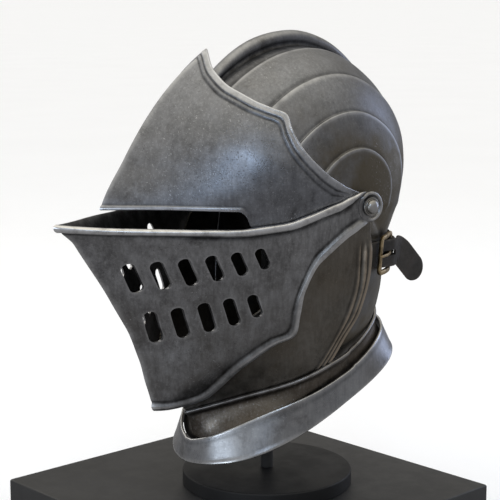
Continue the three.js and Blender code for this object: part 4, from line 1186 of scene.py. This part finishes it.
def buildStand():
    middle, radius, foot, top = standBox("stand_post")
    tip = arc((0, top - radius), (radius, radius), 0, 90, 10)[:-1]
    profile = [(0.01, foot), (radius, foot), *tip, (0.01, top)]
    post = makeObject("standPost", turnShape(profile, 48, upright=True, middle=middle))
    dress(post, "stand_post", "helmet", mattePaint("postBlack", stand["look"], 0.8))

    middle, radius, foot, top = standBox("stand_disc")
    corner = stand["discCorner"]
    edge = arc((radius - corner, top - corner), (corner, corner), 0, 90, 8)
    profile = [(0.01, foot), (radius - 0.4, foot), (radius, foot + 0.4), *edge, (0.01, top)]
    disc = makeObject("standDisc", turnShape(profile, 160, upright=True, middle=middle))
    dress(disc, "stand_disc", "helmet", mattePaint("discBlack", stand["discLook"], 0.5))

    middle, _, foot, top = standBox("stand_plinth")
    corner = stand["plinthCorner"]
    # distance in from the sides and height of each loop, from the underside to the top
    levels = [(12, foot), *arc((corner, foot + corner), (corner, -corner), 90, 180, 6),
              *arc((corner, top - corner), (corner, corner), 180, 90, 6), (12, top)]
    spin = math.radians(stand["plinthTurn"])
    turned = np.array([[math.cos(spin), math.sin(spin)], [-math.sin(spin), math.cos(spin)]])
    loops = []
    for inset, z in levels:
        flat = stand["plinthSide"] / 2 - inset - corner
        outline = []
        for signX, signY, first in ((1, 1, 0), (-1, 1, 90), (-1, -1, 180), (1, -1, 270)):
            outline += arc((signX * flat, signY * flat), (corner, corner), first, first + 90, 6)
        loops.append([(x, y, z) for x, y in np.array(outline) @ turned + middle])
    plinth = makeObject("standPlinth", loftShape(np.array(loops)))
    paint = mattePaint("plinthBlack", stand["look"], 0.5)
    dress(plinth, "stand_plinth", "helmet", paint)


buildStand()


# Studio: pale floor, soft boxes, white all round
studio = {
    "aim": (-0.0125, 0.0229, 0.2337), "eye": (0.93745, -0.69295, 0.44347), "lens": 106.8,
    "floor": (0.985, 0.985, 0.982),
    # place, width and height in metres, watts and colour of each soft box
    "boxes": [
        ((1.0, -0.75, 0.88), 0.24, 0.55, 2.1, (0.62, 0.79, 1.0)),
        ((0.35, -1.35, 0.22), 0.35, 0.35, 2.8, (0.8, 0.9, 1.0)),
        ((0.2, 1.42, 0.5), 0.5, 0.8, 2.8, (0.62, 0.73, 1.0)),
        ((-1.1, -0.6, 1.1), 0.7, 0.7, 3, (1.0, 0.96, 0.9)),
    ],
    # what the steel reflects: dim below and at the sides, warm overhead
    "skyTop": (1.4, 1.31, 1.1), "skyLow": (0.3, 0.293, 0.286),
}


def buildStudio():
    mesh = bpy.data.meshes.new("floor")
    mesh.from_pydata([(-300, -300, 0), (300, -300, 0), (300, 300, 0), (-300, 300, 0)], [], [(0, 1, 2, 3)])
    floor = bpy.data.objects.new("floor", mesh)
    bpy.context.scene.collection.objects.link(floor)
    f = Finish("floorPaint")
    darker = tuple(c * 0.985 for c in studio["floor"])
    colour = f.mix(f.span(f.noise(3, 4, 0.5), 0.3, 0.7), studio["floor"], darker)
    mesh.materials.append(f.shade(colour=colour, rough=f.span(f.noise(40, 4, 0.5), 0.3, 0.7, 0.62, 0.72)))
    floor.visible_glossy = False
    aim = Vector(studio["aim"])
    for k, (place, width, height, watts, colour) in enumerate(studio["boxes"]):
        light = bpy.data.lights.new(f"softBox{k}", "AREA")
        light.shape = "RECTANGLE"
        light.size = width
        light.size_y = height
        light.energy = watts
        light.color = colour
        lamp = bpy.data.objects.new(f"softBox{k}", light)
        lamp.location = place
        lamp.rotation_euler = (aim - Vector(place)).to_track_quat("-Z", "Y").to_euler()
        bpy.context.scene.collection.objects.link(lamp)
    camera = bpy.data.cameras.new("camera")
    camera.lens = studio["lens"]
    camera.sensor_width = 36
    camera.clip_end = 1000
    eye = bpy.data.objects.new("camera", camera)
    eye.location = studio["eye"]
    eye.rotation_euler = (aim - eye.location).to_track_quat("-Z", "Y").to_euler()
    bpy.context.scene.collection.objects.link(eye)
    bpy.context.scene.camera = eye


# Sky: plain white, with a graded one for the steel to reflect
def buildSky():
    world = bpy.data.worlds.new("studioSky")
    bpy.context.scene.world = world
    world.use_nodes = True
    sky = Nodes(world.node_tree, "Generated")
    climb = sky.maths("DIVIDE", sky.maths("SUBTRACT", sky.axis("Z"), 0.1), 0.9, clamp=True)
    graded = sky.mix(sky.maths("POWER", climb, 2.0), studio["skyLow"], studio["skyTop"])
    mirrored = sky.add("ShaderNodeLightPath").outputs["Is Glossy Ray"]
    sky.put(sky.tree.nodes["Background"].inputs["Color"], sky.mix(mirrored, (1, 1, 1), graded))


buildStudio()
buildSky()
bpy.context.scene.view_settings.view_transform = "Standard"
print("studio set")
